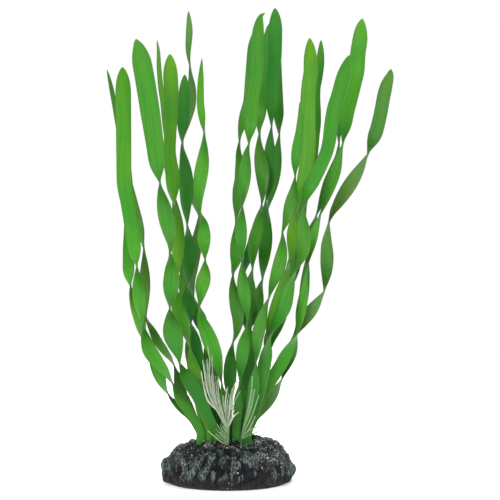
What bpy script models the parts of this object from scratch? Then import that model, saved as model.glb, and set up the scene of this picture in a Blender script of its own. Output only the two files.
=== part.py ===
"""Artificial crinum: twisted ribbon leaves of soft plastic in a cast base that looks like rock.

Metres, +Z up. The origin is the centre of the base's flat underside. The plant's front is at -Y.
The tables give millimetres, and MM turns them into metres.
"""
from math import cos, exp, pi, radians, sin

import bmesh
import bpy
from mathutils import Vector, noise

MM = 0.001

# Driving sizes of the whole plant
PLANT_HEIGHT = 283.8
BASE_HALF_WIDTH = 38.2
BASE_HALF_DEPTH = 35.4
BASE_TOP = 26.0
FOOT_END = 20.0
FOOT_STRAIGHT = 28.0
FOOT_WIDTH = 3.0
BLADE_THICKNESS = 1.0
TIP_THICKNESS = 0.55
TIP_TAPER = 15.0
TIP_SHARPNESS = 0.68
TIP_BLUNTNESS = 0.12
LEAF_STATIONS = 33
STATION_LENGTH = 14.0
STATION_TURN = 24.0
TIP_CROWDING = 0.25
ROUTE_STEP = 0.5
SOCKET_RADIUS = 2.2
SOCKET_GAP = 0.3
SOCKET_SIDES = 6
SOCKET_MOUTH = 38.0

# The routes below are drawn in the plant's front view, on the plane through the middle of the
# base. A point in front of that plane or behind it lies on the same line of sight.
EYE_ACROSS = 13.2
EYE_HEIGHT = 138.6
EYE_DISTANCE = 800.0


for old_object in list(bpy.data.objects):
    bpy.data.objects.remove(old_object, do_unlink=True)


def plastic(name, colour, roughness):
    material = bpy.data.materials.new(name)
    material.use_nodes = True
    shader = material.node_tree.nodes["Principled BSDF"]
    shader.inputs["Base Color"].default_value = (*colour, 1.0)
    shader.inputs["Roughness"].default_value = roughness
    shader.inputs["Metallic"].default_value = 0.0
    return material


def add_object(name, mesh_builder, material):
    mesh = bpy.data.meshes.new(name)
    mesh_builder.to_mesh(mesh)
    mesh_builder.free()
    mesh.materials.append(material)
    thing = bpy.data.objects.new(name, mesh)
    bpy.context.scene.collection.objects.link(thing)
    return thing


def sight_scale(depth):
    return (EYE_DISTANCE + depth) / EYE_DISTANCE


def place(across, depth, height):
    """A point of the front view, moved along its line of sight to a depth."""
    scale = sight_scale(depth)
    return Vector((EYE_ACROSS + (across - EYE_ACROSS) * scale, depth,
                   EYE_HEIGHT + (height - EYE_HEIGHT) * scale))


def through(keys, at):
    """A smooth curve through (position, value) keys, with no overshoot between them."""
    keys = sorted(keys)
    if at <= keys[0][0]:
        return keys[0][1]
    if at >= keys[-1][0]:
        return keys[-1][1]
    slopes = [(b[1] - a[1]) / (b[0] - a[0]) for a, b in zip(keys, keys[1:])]

    def tangent(index):
        if index == 0 or index == len(keys) - 1:
            return slopes[0] if index == 0 else slopes[-1]
        before, after = slopes[index - 1], slopes[index]
        return 2 * before * after / (before + after) if before * after > 0 else 0.0

    for index, (low, high) in enumerate(zip(keys, keys[1:])):
        if at <= high[0]:
            span = high[0] - low[0]
            t = (at - low[0]) / span
            return ((2 * t ** 3 - 3 * t ** 2 + 1) * low[1]
                    + (t ** 3 - 2 * t ** 2 + t) * span * tangent(index)
                    + (3 * t ** 2 - 2 * t ** 3) * high[1]
                    + (t ** 3 - t ** 2) * span * tangent(index + 1))


# Leaves. Each is one moulded ribbon that turns about its own length. It is written from tip to
# foot: route (across, height), depth (height, depth), width (height, width), and the heights at
# which it stands edge-on. tip_turn is its turn in degrees at the tip, and turn_from the height
# at which the turning starts.

class Leaf:
    def __init__(self, name, colour, route, depth, width, edge_on, tip_turn=0.0, turn_from=None):
        self.name, self.colour = name, colour
        self.tip = route[0][1]
        foot_across, foot_depth = route[-1][0], depth[-1][1]
        self.foot = EYE_HEIGHT - (EYE_HEIGHT - FOOT_END) / sight_scale(foot_depth)
        self.across = [(height, across) for across, height in route] + [(self.foot, foot_across)]
        self.depth = depth + [(self.foot, foot_depth)]
        self.width = width + [(FOOT_STRAIGHT, FOOT_WIDTH), (self.foot, FOOT_WIDTH)]
        pitch = (edge_on[0] - edge_on[-1]) / (len(edge_on) - 1)
        turn_from = turn_from or edge_on[0] + pitch / 2
        self.turn = [(self.tip, tip_turn), (turn_from, tip_turn * 0.4)]
        self.turn += [(height, 90.0 + 180.0 * count) for count, height in enumerate(edge_on)]
        flat_from = max(edge_on[-1] - pitch / 2, self.foot + ROUTE_STEP)
        flat_turn = self.turn[-1][1] + 90.0
        self.turn += [(flat_from, flat_turn), (self.foot, flat_turn)]

    def point(self, height):
        return place(through(self.across, height), through(self.depth, height), height)

    def stations(self):
        """Heights from tip to foot, closer together where the blade turns fast."""
        busy, heights, costs = 0.0, [self.tip - ROUTE_STEP], [0.0]
        while heights[-1] > FOOT_STRAIGHT:
            height = max(heights[-1] - ROUTE_STEP, FOOT_STRAIGHT)
            length = (self.point(height) - self.point(heights[-1])).length
            turned = abs(through(self.turn, height) - through(self.turn, heights[-1]))
            near_tip = TIP_CROWDING if self.tip - height < TIP_TAPER else 0.0
            busy += length * (1 / STATION_LENGTH + near_tip) + turned / STATION_TURN
            heights.append(height)
            costs.append(busy)
        chosen = [heights[0]]
        for count in range(1, LEAF_STATIONS):
            wanted = busy * count / LEAF_STATIONS
            chosen.append(next(h for h, cost in zip(heights, costs) if cost >= wanted))
        return chosen + [FOOT_STRAIGHT, self.foot]

    def section(self, height):
        """The four corners of the thin lens at a height: edge, crown, edge, crown."""
        centre = self.point(height)
        low, high = max(height - ROUTE_STEP, self.foot), min(height + ROUTE_STEP, self.tip)
        tangent = (self.point(low) - self.point(high)).normalized()
        side = tangent.cross(Vector((0.0, 1.0, 0.0))).normalized()
        turn = radians(through(self.turn, height))
        across = cos(turn) * side + sin(turn) * tangent.cross(side)
        crown = tangent.cross(across)
        from_tip = min((self.tip - height) / TIP_TAPER, 1.0)
        taper = max((1.0 - (1.0 - from_tip) ** 2) ** TIP_SHARPNESS, TIP_BLUNTNESS)
        half_width = through(self.width, height) * taper * sight_scale(centre.y) / 2
        half_thickness = (TIP_THICKNESS + (BLADE_THICKNESS - TIP_THICKNESS) * from_tip) / 2
        return [centre + across * half_width, centre + crown * half_thickness,
                centre - across * half_width, centre - crown * half_thickness]


# The greens of the leaves' plastic
LIGHT_GREEN = (0.100, 0.335, 0.018)
BRIGHT_GREEN = (0.062, 0.295, 0.018)
MIDDLE_GREEN = (0.048, 0.245, 0.020)
DEEP_GREEN = (0.024, 0.205, 0.020)
OLIVE_GREEN = (0.080, 0.265, 0.030)
DULL_GREEN = (0.068, 0.240, 0.038)

LEAVES = [
    Leaf("leaf_far_left", OLIVE_GREEN,
         route=[(-72.6, 246.9), (-71.1, 240.6), (-69.6, 233.4), (-68.1, 225.6), (-65.4, 210.6),
                (-62.7, 195.6), (-60.0, 180.6), (-57.0, 168.6), (-54.0, 156.6), (-51.6, 146.4),
                (-49.9, 131.4), (-49.8, 114.6), (-49.6, 105.6), (-49.0, 97.8), (-45.6, 90.6),
                (-42.3, 84.0), (-37.9, 78.0), (-34.0, 72.6), (-29.8, 61.8), (-27.6, 51.0),
                (-23.8, 43.8), (-20.4, 36.6), (-15.8, 28.0)],
         depth=[(247, 26), (130, 12), (28, 2)],
         width=[(247, 4.2), (156, 5.4), (124, 6.5), (84, 5.4), (60, 7.2), (45, 6.6), (36, 5.0)],
         edge_on=[138.6, 97.8, 68.4], tip_turn=-60, turn_from=165),
    Leaf("leaf_left_broad", BRIGHT_GREEN,
         route=[(-63.3, 248.4), (-63.0, 237.6), (-62.8, 222.6), (-62.6, 198.6), (-62.4, 180.6),
                (-60.0, 165.6), (-58.2, 153.6), (-56.4, 141.6), (-54.7, 127.8), (-53.7, 117.6),
                (-52.8, 105.6), (-51.3, 93.0), (-48.0, 80.4), (-43.2, 72.6), (-37.8, 66.0),
                (-33.9, 59.4), (-30.0, 51.0), (-23.8, 42.6), (-16.2, 28.0)],
         depth=[(248, -30), (130, -17), (60, -12), (28, -10)],
         width=[(248, 9.8), (178, 9.0), (150, 8.2), (108, 8.4), (72, 8.6), (56, 7.6), (44, 6.4),
                (36, 5.0)],
         edge_on=[127.8, 93.0, 57.0], tip_turn=-22),
    Leaf("leaf_left_low", BRIGHT_GREEN,
         route=[(-61.2, 211.8), (-61.2, 192.6), (-60.0, 174.6), (-59.1, 159.6), (-59.4, 147.6),
                (-59.8, 138.6), (-59.7, 129.6), (-58.4, 115.8), (-55.5, 105.6), (-53.5, 99.0),
                (-51.3, 87.6), (-48.6, 81.6), (-45.6, 75.6), (-42.6, 68.4), (-39.6, 59.4),
                (-35.1, 50.7), (-30.0, 45.6), (-23.0, 39.6), (-18.9, 33.6), (-16.4, 28.0)],
         depth=[(212, -10), (130, -4), (28, -4)],
         width=[(212, 6.8), (138, 7.0), (99, 7.4), (72, 8.2), (56, 7.6), (44, 6.4), (36, 5.0)],
         edge_on=[115.8, 81.6, 50.7], tip_turn=-40),
    Leaf("leaf_left_front", BRIGHT_GREEN,
         route=[(-55.3, 265.2), (-53.2, 258.6), (-50.5, 245.4), (-48.0, 230.4), (-45.9, 216.6),
                (-44.2, 204.6), (-42.0, 186.6), (-40.9, 178.2), (-39.2, 168.6), (-37.3, 159.6),
                (-35.5, 149.4), (-34.8, 141.6), (-34.7, 129.6), (-33.9, 120.6), (-34.6, 111.6),
                (-35.1, 102.6), (-34.2, 93.6), (-32.4, 84.6), (-30.4, 75.6), (-27.9, 67.2),
                (-20.6, 55.8), (-15.0, 45.6), (-8.8, 33.6), (-6.0, 28.0)],
         depth=[(265, -40), (130, -22), (60, -14), (28, -11)],
         width=[(265, 10.6), (248, 12.4), (225, 12.2), (190, 10.2), (154, 9.6), (120, 10.0),
                (85, 11.4), (62, 9.2), (46, 7.4), (36, 5.0)],
         edge_on=[178.2, 136.2, 103.2, 70.0], tip_turn=18),
    Leaf("leaf_left_thin", OLIVE_GREEN,
         route=[(-42.6, 264.6), (-41.7, 257.4), (-41.4, 249.6), (-40.2, 235.8), (-39.0, 228.6),
                (-37.5, 215.4), (-36.0, 204.6), (-34.8, 189.6), (-33.0, 174.6), (-30.6, 159.6),
                (-28.8, 144.6), (-27.6, 129.6), (-25.2, 108.6), (-23.6, 90.6), (-20.4, 66.6),
                (-15.0, 45.6), (-11.5, 28.0)],
         depth=[(265, 30), (130, 15), (50, 12), (28, 8)],
         width=[(265, 3.6), (200, 4.8), (130, 6.8), (80, 7.8), (56, 7.0), (36, 5.0)],
         edge_on=[174.6, 132.6, 90.6], tip_turn=50),
    Leaf("leaf_left_middle", LIGHT_GREEN,
         route=[(-34.8, 256.2), (-34.6, 243.6), (-34.2, 234.6), (-34.3, 225.6), (-34.8, 207.6),
                (-35.1, 198.6), (-34.5, 190.8), (-33.3, 183.6), (-32.2, 166.8), (-31.3, 163.8),
                (-29.6, 156.6), (-29.4, 147.6), (-30.0, 138.6), (-30.8, 130.2), (-31.4, 121.8),
                (-31.6, 114.6), (-30.6, 105.6), (-27.8, 96.6), (-24.6, 87.6), (-21.6, 72.6),
                (-18.0, 54.6), (-15.0, 39.6), (-11.5, 28.0)],
         depth=[(256, -12), (130, -8), (80, -7.5), (28, -8.5)],
         width=[(256, 10.0), (234, 9.6), (199, 7.6), (186, 8.7), (150, 7.4), (115, 8.0), (85, 8.6),
                (60, 7.8), (46, 6.4), (36, 5.0)],
         edge_on=[164.4, 118.0, 80.0], tip_turn=-30),
    Leaf("leaf_left_dark", DEEP_GREEN,
         route=[(-26.0, 243.9), (-26.1, 235.8), (-26.4, 225.6), (-27.0, 213.6), (-27.4, 202.2),
                (-26.1, 192.6), (-25.2, 183.6), (-24.9, 174.6), (-25.2, 165.6), (-24.3, 153.0),
                (-23.7, 144.6), (-23.1, 135.6), (-23.4, 126.6), (-24.0, 117.6), (-24.0, 108.6),
                (-23.1, 99.6), (-21.6, 90.6), (-19.0, 75.6), (-13.9, 57.6), (-10.2, 42.0),
                (-8.0, 28.0)],
         depth=[(244, 10), (130, 4), (80, 3.5), (28, 2)],
         width=[(244, 7.8), (225, 7.6), (186, 8.7), (135, 8.8), (108, 8.8), (75, 8.6), (52, 7.4),
                (36, 5.0)],
         edge_on=[202.2, 153.0, 117.6, 94.0], tip_turn=25),
    Leaf("leaf_left_tall", DULL_GREEN,
         route=[(-23.7, 282.0), (-23.2, 270.6), (-23.7, 258.6), (-22.9, 249.0), (-21.6, 235.8),
                (-22.2, 227.4), (-24.6, 216.6), (-27.3, 202.2), (-25.8, 189.6), (-22.8, 175.8),
                (-19.2, 165.6), (-17.4, 158.4), (-18.0, 147.6), (-19.8, 138.6), (-21.6, 130.2),
                (-22.5, 121.8), (-20.7, 111.6), (-18.6, 101.4), (-15.0, 92.4), (-12.6, 81.6),
                (-10.2, 66.6), (-7.2, 48.6), (-4.5, 28.0)],
         depth=[(282, 44), (200, 34), (130, 24), (110, 21), (28, 8)],
         width=[(282, 4.2), (264, 4.2), (236, 6.2), (180, 6.4), (138, 8.2), (110, 8.2), (70, 7.6),
                (50, 6.8), (36, 5.0)],
         edge_on=[249.0, 202.2, 158.4, 110.0, 84.0], tip_turn=20),
    Leaf("leaf_left_inner", BRIGHT_GREEN,
         route=[(-15.6, 253.8), (-16.0, 246.6), (-16.5, 228.6), (-15.3, 216.6), (-14.4, 208.8),
                (-14.2, 202.8), (-14.7, 194.4), (-15.6, 187.8), (-17.1, 178.2), (-17.7, 170.4),
                (-16.5, 160.8), (-14.6, 153.6), (-14.4, 144.6), (-13.9, 136.8), (-13.8, 126.6),
                (-14.7, 120.6), (-16.2, 114.6), (-17.2, 104.4), (-16.2, 97.2), (-13.6, 90.6),
                (-10.2, 82.8), (-6.6, 72.6), (-4.2, 60.6), (-2.4, 45.6), (-1.5, 28.0)],
         depth=[(254, -28), (130, -16), (28, -10)],
         width=[(254, 5.2), (228, 5.0), (190, 8.4), (146, 8.0), (120, 8.6), (90, 9.4), (64, 8.4),
                (46, 6.4), (36, 5.0)],
         edge_on=[208.8, 160.8, 132.6, 104.4, 58.0], tip_turn=65, turn_from=224),
    Leaf("leaf_centre_back", MIDDLE_GREEN,
         route=[(16.2, 270.6), (15.0, 261.6), (14.4, 252.6), (13.5, 240.6), (12.6, 228.6),
                (10.2, 219.6), (8.7, 213.6), (6.8, 203.7), (6.6, 198.0), (7.5, 189.6),
                (7.8, 181.8), (6.5, 174.6), (5.4, 165.6), (4.9, 155.7), (5.4, 138.6),
                (4.8, 131.4), (2.9, 123.0), (3.4, 115.8), (5.1, 105.6), (6.0, 97.8),
                (5.2, 90.6), (3.2, 83.4), (1.7, 77.4), (1.2, 69.6), (1.2, 57.6), (1.8, 28.0)],
         depth=[(271, 12), (130, 3), (110, 0.5), (28, -4)],
         width=[(271, 7.0), (228, 6.8), (190, 7.5), (139, 8.4), (102, 8.2), (75, 8.6), (52, 7.0),
                (36, 5.0)],
         edge_on=[203.7, 155.7, 123.0, 83.4, 43.0], tip_turn=28),
    Leaf("leaf_centre_front", MIDDLE_GREEN,
         route=[(22.2, 280.8), (19.8, 279.0), (18.8, 275.4), (18.0, 269.4), (17.6, 261.6),
                (17.7, 252.6), (16.8, 240.6), (14.7, 228.6), (13.4, 211.8), (12.4, 202.2),
                (11.2, 195.6), (9.8, 180.6), (8.6, 165.0), (7.7, 150.6), (8.3, 131.4),
                (8.9, 120.6), (10.2, 108.6), (11.7, 93.0), (9.4, 81.6), (7.4, 63.6),
                (6.0, 42.6), (5.0, 28.0)],
         depth=[(281, -24), (130, -17), (28, -10)],
         width=[(281, 7.6), (262, 8.2), (228, 7.7), (180, 7.6), (140, 7.4), (100, 8.0), (64, 7.6),
                (46, 6.0), (36, 5.0)],
         edge_on=[202.2, 165.0, 131.4, 97.0, 59.0], tip_turn=-28),
    Leaf("leaf_centre_olive", MIDDLE_GREEN,
         route=[(24.6, 274.2), (24.3, 264.6), (22.8, 252.6), (21.6, 240.6), (20.4, 228.6),
                (19.5, 217.8), (18.9, 208.2), (19.2, 198.6), (20.7, 180.6), (20.4, 166.2),
                (18.9, 159.6), (17.4, 150.6), (15.3, 141.0), (14.6, 127.2), (13.5, 119.4),
                (13.2, 108.6), (12.6, 93.6), (12.9, 81.6), (11.4, 63.6), (9.6, 42.6),
                (7.5, 28.0)],
         depth=[(274, 10), (240, 6), (214, 0), (180, -5), (130, -5), (28, -4)],
         width=[(274, 7.5), (252, 7.4), (222, 6.6), (190, 8.4), (149, 7.6), (110, 7.8), (64, 7.4),
                (46, 6.0), (36, 5.0)],
         edge_on=[208.2, 166.2, 127.2, 93.6], tip_turn=-18),
    Leaf("leaf_centre_tallest", DEEP_GREEN,
         route=[(28.2, PLANT_HEIGHT), (28.5, 276.6), (28.3, 264.6), (27.9, 252.6), (26.7, 240.6),
                (26.4, 228.6), (26.0, 213.0), (25.2, 195.6), (25.5, 186.6), (24.6, 177.6),
                (23.1, 169.8), (21.6, 161.4), (18.6, 150.6), (15.0, 141.0), (11.7, 132.6),
                (9.6, 123.6), (9.0, 114.6), (10.2, 102.6), (12.0, 90.6), (11.4, 72.6),
                (9.0, 51.6), (6.0, 28.0)],
         depth=[(284, -10), (240, -4), (214, 0), (180, 5), (130, 8), (90, 5.5), (28, 2)],
         width=[(284, 9.0), (262, 8.8), (228, 7.6), (150, 8.0), (100, 8.2), (64, 7.6), (46, 6.0),
                (36, 5.0)],
         edge_on=[213.0, 168.6, 123.6, 84.6], tip_turn=22),
    Leaf("leaf_centre_hidden", MIDDLE_GREEN,
         route=[(29.4, 261.6), (29.4, 249.6), (30.1, 228.6), (30.7, 207.9), (30.0, 198.6),
                (28.8, 189.6), (27.3, 180.6), (25.5, 171.6), (24.0, 163.2), (23.6, 155.4),
                (23.1, 147.6), (22.2, 138.6), (20.6, 121.2), (19.1, 114.6), (17.4, 106.2),
                (15.0, 97.8), (12.9, 90.6), (12.6, 78.6), (12.3, 60.6), (9.5, 43.8), (6.5, 28.0)],
         depth=[(262, 24), (130, 17), (90, 13.5), (28, 8.5)],
         width=[(262, 6.4), (228, 6.2), (193, 7.0), (145, 7.8), (108, 7.8), (64, 7.2), (46, 6.0),
                (36, 5.0)],
         edge_on=[207.9, 163.2, 121.2, 90.6], tip_turn=-35),
    Leaf("leaf_right_short", MIDDLE_GREEN,
         route=[(43.2, 227.7), (43.5, 221.4), (42.9, 210.6), (41.1, 198.6), (40.5, 189.6),
                (40.2, 183.0), (39.5, 174.6), (37.4, 165.6), (34.8, 156.6), (32.8, 149.4),
                (32.4, 139.8), (31.2, 131.4), (29.0, 123.6), (27.0, 118.2), (25.0, 111.6),
                (21.9, 102.6), (19.4, 93.6), (17.6, 85.8), (16.8, 72.6), (15.0, 51.6),
                (11.5, 28.0)],
         depth=[(228, -26), (130, -17), (74, -15), (28, -11.5)],
         width=[(228, 3.6), (221, 3.6), (198, 6.0), (165, 7.4), (131, 8.0), (100, 7.8), (64, 7.0),
                (46, 6.0), (36, 5.0)],
         edge_on=[183.0, 149.4, 110.0, 71.0]),
    Leaf("leaf_right_light", LIGHT_GREEN,
         route=[(49.0, 265.8), (49.5, 255.6), (49.7, 246.6), (48.6, 237.6), (48.0, 228.6),
                (48.0, 216.6), (48.3, 204.6), (47.4, 192.6), (45.6, 180.6), (42.6, 168.6),
                (39.0, 144.6), (35.6, 126.6), (30.8, 108.6), (27.2, 96.6), (24.0, 84.6),
                (22.2, 72.6), (18.0, 51.6), (12.0, 28.0)],
         depth=[(266, 8), (130, 5), (60, 8), (28, 10.5)],
         width=[(266, 8.6), (234, 9.4), (200, 9.2), (175, 8.6), (150, 8.6), (90, 8.4), (60, 7.2),
                (46, 6.0), (36, 5.0)],
         edge_on=[165.0, 132.0, 82.0, 58.0], tip_turn=30),
    Leaf("leaf_right_blunt", MIDDLE_GREEN,
         route=[(55.8, 264.6), (55.7, 258.6), (55.2, 249.6), (54.0, 241.8), (52.5, 234.6),
                (51.9, 225.6), (51.9, 216.6), (51.0, 207.6), (49.2, 189.6), (46.8, 177.6),
                (43.2, 165.6), (42.6, 153.6), (40.8, 135.6), (38.4, 125.4), (36.0, 114.6),
                (33.3, 102.6), (28.8, 93.0), (24.9, 84.6), (22.8, 72.6), (16.8, 53.4),
                (7.0, 28.0)],
         depth=[(265, 36), (130, 24), (60, 20), (28, 14)],
         width=[(265, 4.6), (240, 5.4), (220, 7.8), (190, 8.2), (130, 8.4), (80, 7.8), (50, 6.4),
                (36, 5.0)],
         edge_on=[147.0, 112.0, 72.0]),
    Leaf("leaf_right_thin", DEEP_GREEN,
         route=[(70.2, 231.6), (68.4, 219.6), (66.9, 210.6), (66.5, 203.4), (66.0, 195.6),
                (63.6, 187.8), (60.0, 178.8), (56.4, 168.6), (53.4, 160.2), (51.0, 151.8),
                (49.2, 143.4), (47.7, 133.8), (46.8, 123.6), (44.4, 104.0), (38.6, 84.6),
                (31.8, 70.2), (24.0, 57.0), (16.8, 42.6), (11.5, 28.0)],
         depth=[(232, 20), (130, 18), (60, 14.5), (28, 16)],
         width=[(232, 6.0), (110, 5.8), (60, 6.4), (36, 5.0)],
         edge_on=[203.4, 160.2, 137.0, 88.2], tip_turn=40),
    Leaf("leaf_right_front", BRIGHT_GREEN,
         route=[(72.9, 255.6), (70.8, 249.0), (68.4, 240.6), (66.0, 231.6), (63.3, 222.6),
                (61.8, 213.6), (60.9, 205.8), (59.4, 198.6), (55.8, 189.6), (51.3, 180.6),
                (47.4, 172.8), (45.6, 165.0), (45.0, 156.6), (45.6, 147.6), (45.0, 138.6),
                (42.0, 129.6), (38.1, 120.6), (35.4, 111.6), (33.6, 103.8), (29.4, 95.4),
                (25.2, 87.0), (23.4, 77.4), (20.4, 60.6), (16.8, 43.8), (12.0, 28.0)],
         depth=[(256, -30), (130, -14), (60, -8), (28, -6)],
         width=[(256, 8.2), (236, 9.2), (212, 9.0), (195, 8.2), (140, 8.8), (90, 8.4), (60, 7.2),
                (44, 6.0), (36, 5.0)],
         edge_on=[165.0, 126.6, 87.0], tip_turn=-26),
    Leaf("leaf_right_tall", LIGHT_GREEN,
         route=[(80.6, 277.5), (79.8, 271.8), (79.2, 264.6), (77.9, 255.6), (77.4, 246.6),
                (75.6, 237.6), (73.5, 228.6), (71.4, 219.6), (70.5, 211.8), (69.0, 203.4),
                (67.2, 195.6), (64.8, 186.6), (61.5, 177.6), (58.8, 169.8), (55.8, 160.8),
                (52.5, 151.8), (50.4, 144.6), (48.3, 135.6), (47.3, 127.8), (45.9, 114.6),
                (44.7, 107.4), (43.2, 99.6), (41.1, 88.2), (37.8, 81.6), (34.8, 75.6),
                (31.8, 70.2), (28.2, 64.2), (24.6, 58.2), (20.4, 51.0), (15.6, 37.8),
                (12.0, 28.0)],
         depth=[(278, -12), (130, -4), (28, -0.5)],
         width=[(278, 9.4), (256, 9.4), (233, 8.6), (180, 7.0), (115, 5.6), (88, 8.0), (60, 7.2),
                (44, 6.0), (36, 5.0)],
         edge_on=[202.8, 160.8, 127.8, 88.2], tip_turn=18),
    Leaf("leaf_far_right", DULL_GREEN,
         route=[(97.8, 247.2), (97.2, 243.6), (95.1, 237.6), (93.3, 230.4), (91.9, 222.6),
                (89.8, 213.0), (87.2, 204.6), (84.0, 196.5), (80.4, 189.0), (75.9, 181.8),
                (71.1, 174.6), (66.0, 166.8), (62.4, 160.8), (60.9, 156.0), (59.7, 149.4),
                (59.1, 141.6), (59.4, 134.4), (59.3, 126.6), (57.8, 114.6), (54.3, 108.0),
                (49.8, 102.0), (45.6, 96.6), (42.9, 91.8), (41.4, 88.2), (39.4, 81.6),
                (37.1, 75.0), (34.8, 68.4), (32.4, 61.5), (28.8, 54.6), (25.2, 49.2),
                (21.0, 43.8), (16.2, 38.4), (10.0, 28.0)],
         depth=[(247, 12), (130, 9), (60, 5), (28, 5.5)],
         width=[(247, 8.6), (180, 8.3), (138, 8.0), (105, 7.6), (75, 7.0), (50, 7.0), (36, 5.0)],
         edge_on=[196.5, 156.0, 114.6, 88.2, 61.5], tip_turn=-20),
]


def make_leaf(leaf):
    mesh_builder = bmesh.new()
    rings = [[mesh_builder.verts.new(corner * MM) for corner in leaf.section(height)]
             for height in leaf.stations()]
    for upper, lower in zip(rings, rings[1:]):
        for corner in range(4):
            following = (corner + 1) % 4
            # Both faces of the thin blade are split along the same line, from edge to crown
            edge, crown = (corner, following) if corner % 2 == 0 else (following, corner)
            mesh_builder.faces.new((upper[edge], upper[crown], lower[crown]))
            mesh_builder.faces.new((upper[edge], lower[crown], lower[edge]))
    mesh_builder.faces.new(rings[0])
    mesh_builder.faces.new(rings[-1])
    bmesh.ops.recalc_face_normals(mesh_builder, faces=mesh_builder.faces)
    return add_object(leaf.name, mesh_builder, plastic(leaf.name, leaf.colour, 0.45))


# Sprigs. Each is a short stem with thin rootlets, moulded as one pale piece. A rootlet is
# written from the stem outwards as (across, depth, height).

STEM_TAPER = 0.8
STEM_SIDES = 6
ROOTLET_RADIUS = 0.6
ROOTLET_TIP_RADIUS = 0.32
ROOTLET_SIDES = 3


def tube(route, start_radius, end_radius, sides):
    """A tapered tube with closed ends along a route of points in millimetres."""
    mesh_builder = bmesh.new()
    rings = []
    for index, point in enumerate(route):
        before, after = route[max(index - 1, 0)], route[min(index + 1, len(route) - 1)]
        along = (after - before).normalized()
        side = along.cross(Vector((0.0, 1.0, 0.0))).normalized()
        other = along.cross(side)
        radius = start_radius + (end_radius - start_radius) * index / (len(route) - 1)
        rings.append([mesh_builder.verts.new((point + radius * (side * cos(turn) + other * sin(turn))) * MM)
                      for turn in (2 * pi * count / sides for count in range(sides))])
    for upper, lower in zip(rings, rings[1:]):
        for corner in range(sides):
            following = (corner + 1) % sides
            mesh_builder.faces.new((upper[corner], upper[following], lower[following], lower[corner]))
    mesh_builder.faces.new(rings[0])
    mesh_builder.faces.new(rings[-1])
    bmesh.ops.recalc_face_normals(mesh_builder, faces=mesh_builder.faces)
    return mesh_builder


def apply_modifiers(thing):
    depsgraph = bpy.context.evaluated_depsgraph_get()
    finished = bpy.data.meshes.new_from_object(thing.evaluated_get(depsgraph))
    thing.modifiers.clear()
    thing.data = finished


def make_sprig(name, foot, stem_top, stem_radius, rootlets, material):
    stem_route = [Vector((foot[0], foot[1], FOOT_END)), Vector((foot[0], foot[1], FOOT_STRAIGHT)),
                  place(*stem_top)]
    stem = add_object(name, tube(stem_route, stem_radius, stem_radius * STEM_TAPER, STEM_SIDES), material)
    arms = []
    for number, rootlet in enumerate(rootlets):
        route = [place(*point) for point in rootlet]
        arm_mesh = tube(route, ROOTLET_RADIUS, ROOTLET_TIP_RADIUS, ROOTLET_SIDES)
        arm = add_object(f"{name}_rootlet_{number}", arm_mesh, material)
        join = stem.modifiers.new(arm.name, "BOOLEAN")
        join.operation = "UNION"
        join.solver = "EXACT"
        join.object = arm
        arms.append(arm)
    apply_modifiers(stem)
    for arm in arms:
        bpy.data.objects.remove(arm, do_unlink=True)
    return stem


SPRIG_FEET = {"sprig_front": (-0.5, -15.5), "sprig_right": (8.0, -16.0), "sprig_back": (-15.5, 13.5)}
SPRIG_TOPS = {"sprig_front": (-0.3, -16.5, 36.0), "sprig_right": (8.5, -16.8, 29.0),
              "sprig_back": (-16.5, 14.0, 36.0)}
STEM_RADII = {"sprig_front": 1.5, "sprig_right": 0.9, "sprig_back": 0.9}
SPRIG_ROOTLETS = {
    "sprig_front": [
        [(-0.3, -16.4, 34.8), (-6.0, -19.5, 42.0), (-9.6, -20.5, 45.0), (-12.6, -21.0, 49.0),
         (-14.6, -21.5, 57.0), (-15.9, -21.5, 65.4)],
        [(-0.3, -16.3, 33.6), (-5.0, -20.5, 41.5), (-9.6, -21.5, 52.0), (-11.2, -22.0, 61.0),
         (-10.9, -22.0, 71.0), (-12.2, -22.0, 81.0)],
        [(-0.3, -16.2, 32.0), (-3.6, -21.5, 42.6), (-5.6, -22.5, 52.0), (-6.0, -22.5, 63.0)],
        [(-0.3, -16.1, 30.8), (-6.5, -22.0, 42.0), (-10.8, -23.0, 50.0), (-13.4, -23.5, 60.0),
         (-15.2, -23.5, 72.6)],
        [(-0.3, -16.5, 35.4), (-1.8, -20.0, 45.0), (-0.6, -20.5, 55.8)],
        [(-0.3, -16.0, 32.8), (0.8, -22.0, 42.0), (1.4, -23.0, 51.6)],
        [(-0.3, -16.5, 34.2), (2.2, -20.0, 46.0), (3.4, -20.5, 55.8), (6.6, -20.5, 62.4)],
        [(-0.3, -16.0, 31.4), (3.4, -20.5, 38.6), (6.6, -21.0, 41.4)],
        [(-0.4, -15.9, 23.8), (-2.6, -19.5, 22.6), (-7.0, -21.5, 25.8), (-12.2, -22.0, 30.2)],
    ],
    "sprig_right": [
        [(8.5, -16.8, 28.4), (9.8, -18.0, 34.5), (11.7, -18.5, 41.4), (12.9, -19.0, 48.0),
         (14.1, -19.0, 55.0), (14.6, -19.0, 63.0)],
        [(8.4, -16.7, 27.6), (10.4, -19.5, 34.0), (13.8, -21.0, 43.5), (16.2, -21.0, 55.2)],
        [(8.4, -16.6, 26.8), (11.2, -20.5, 32.0), (15.0, -22.5, 41.0), (18.6, -22.5, 51.6)],
        [(8.3, -16.5, 26.0), (12.6, -20.5, 31.0), (16.4, -21.5, 39.0)],
        [(8.2, -16.4, 25.2), (13.2, -20.0, 27.5), (18.6, -21.5, 29.8)],
        [(8.3, -16.7, 27.2), (14.0, -19.0, 31.0), (20.4, -19.0, 33.8)],
    ],
    "sprig_back": [
        [(-16.4, 14.0, 34.8), (-19.0, 16.0, 48.0), (-21.4, 17.0, 69.0)],
        [(-16.2, 13.9, 33.0), (-20.5, 17.0, 43.0), (-24.0, 18.0, 51.6)],
        [(-16.0, 13.8, 31.4), (-19.0, 18.0, 38.0), (-22.0, 20.0, 46.0)],
    ],
}


# Base. One casting: an oval mound with a flat underside, rock lumps, upright ridges at the front
# and a socket for each foot.

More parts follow.
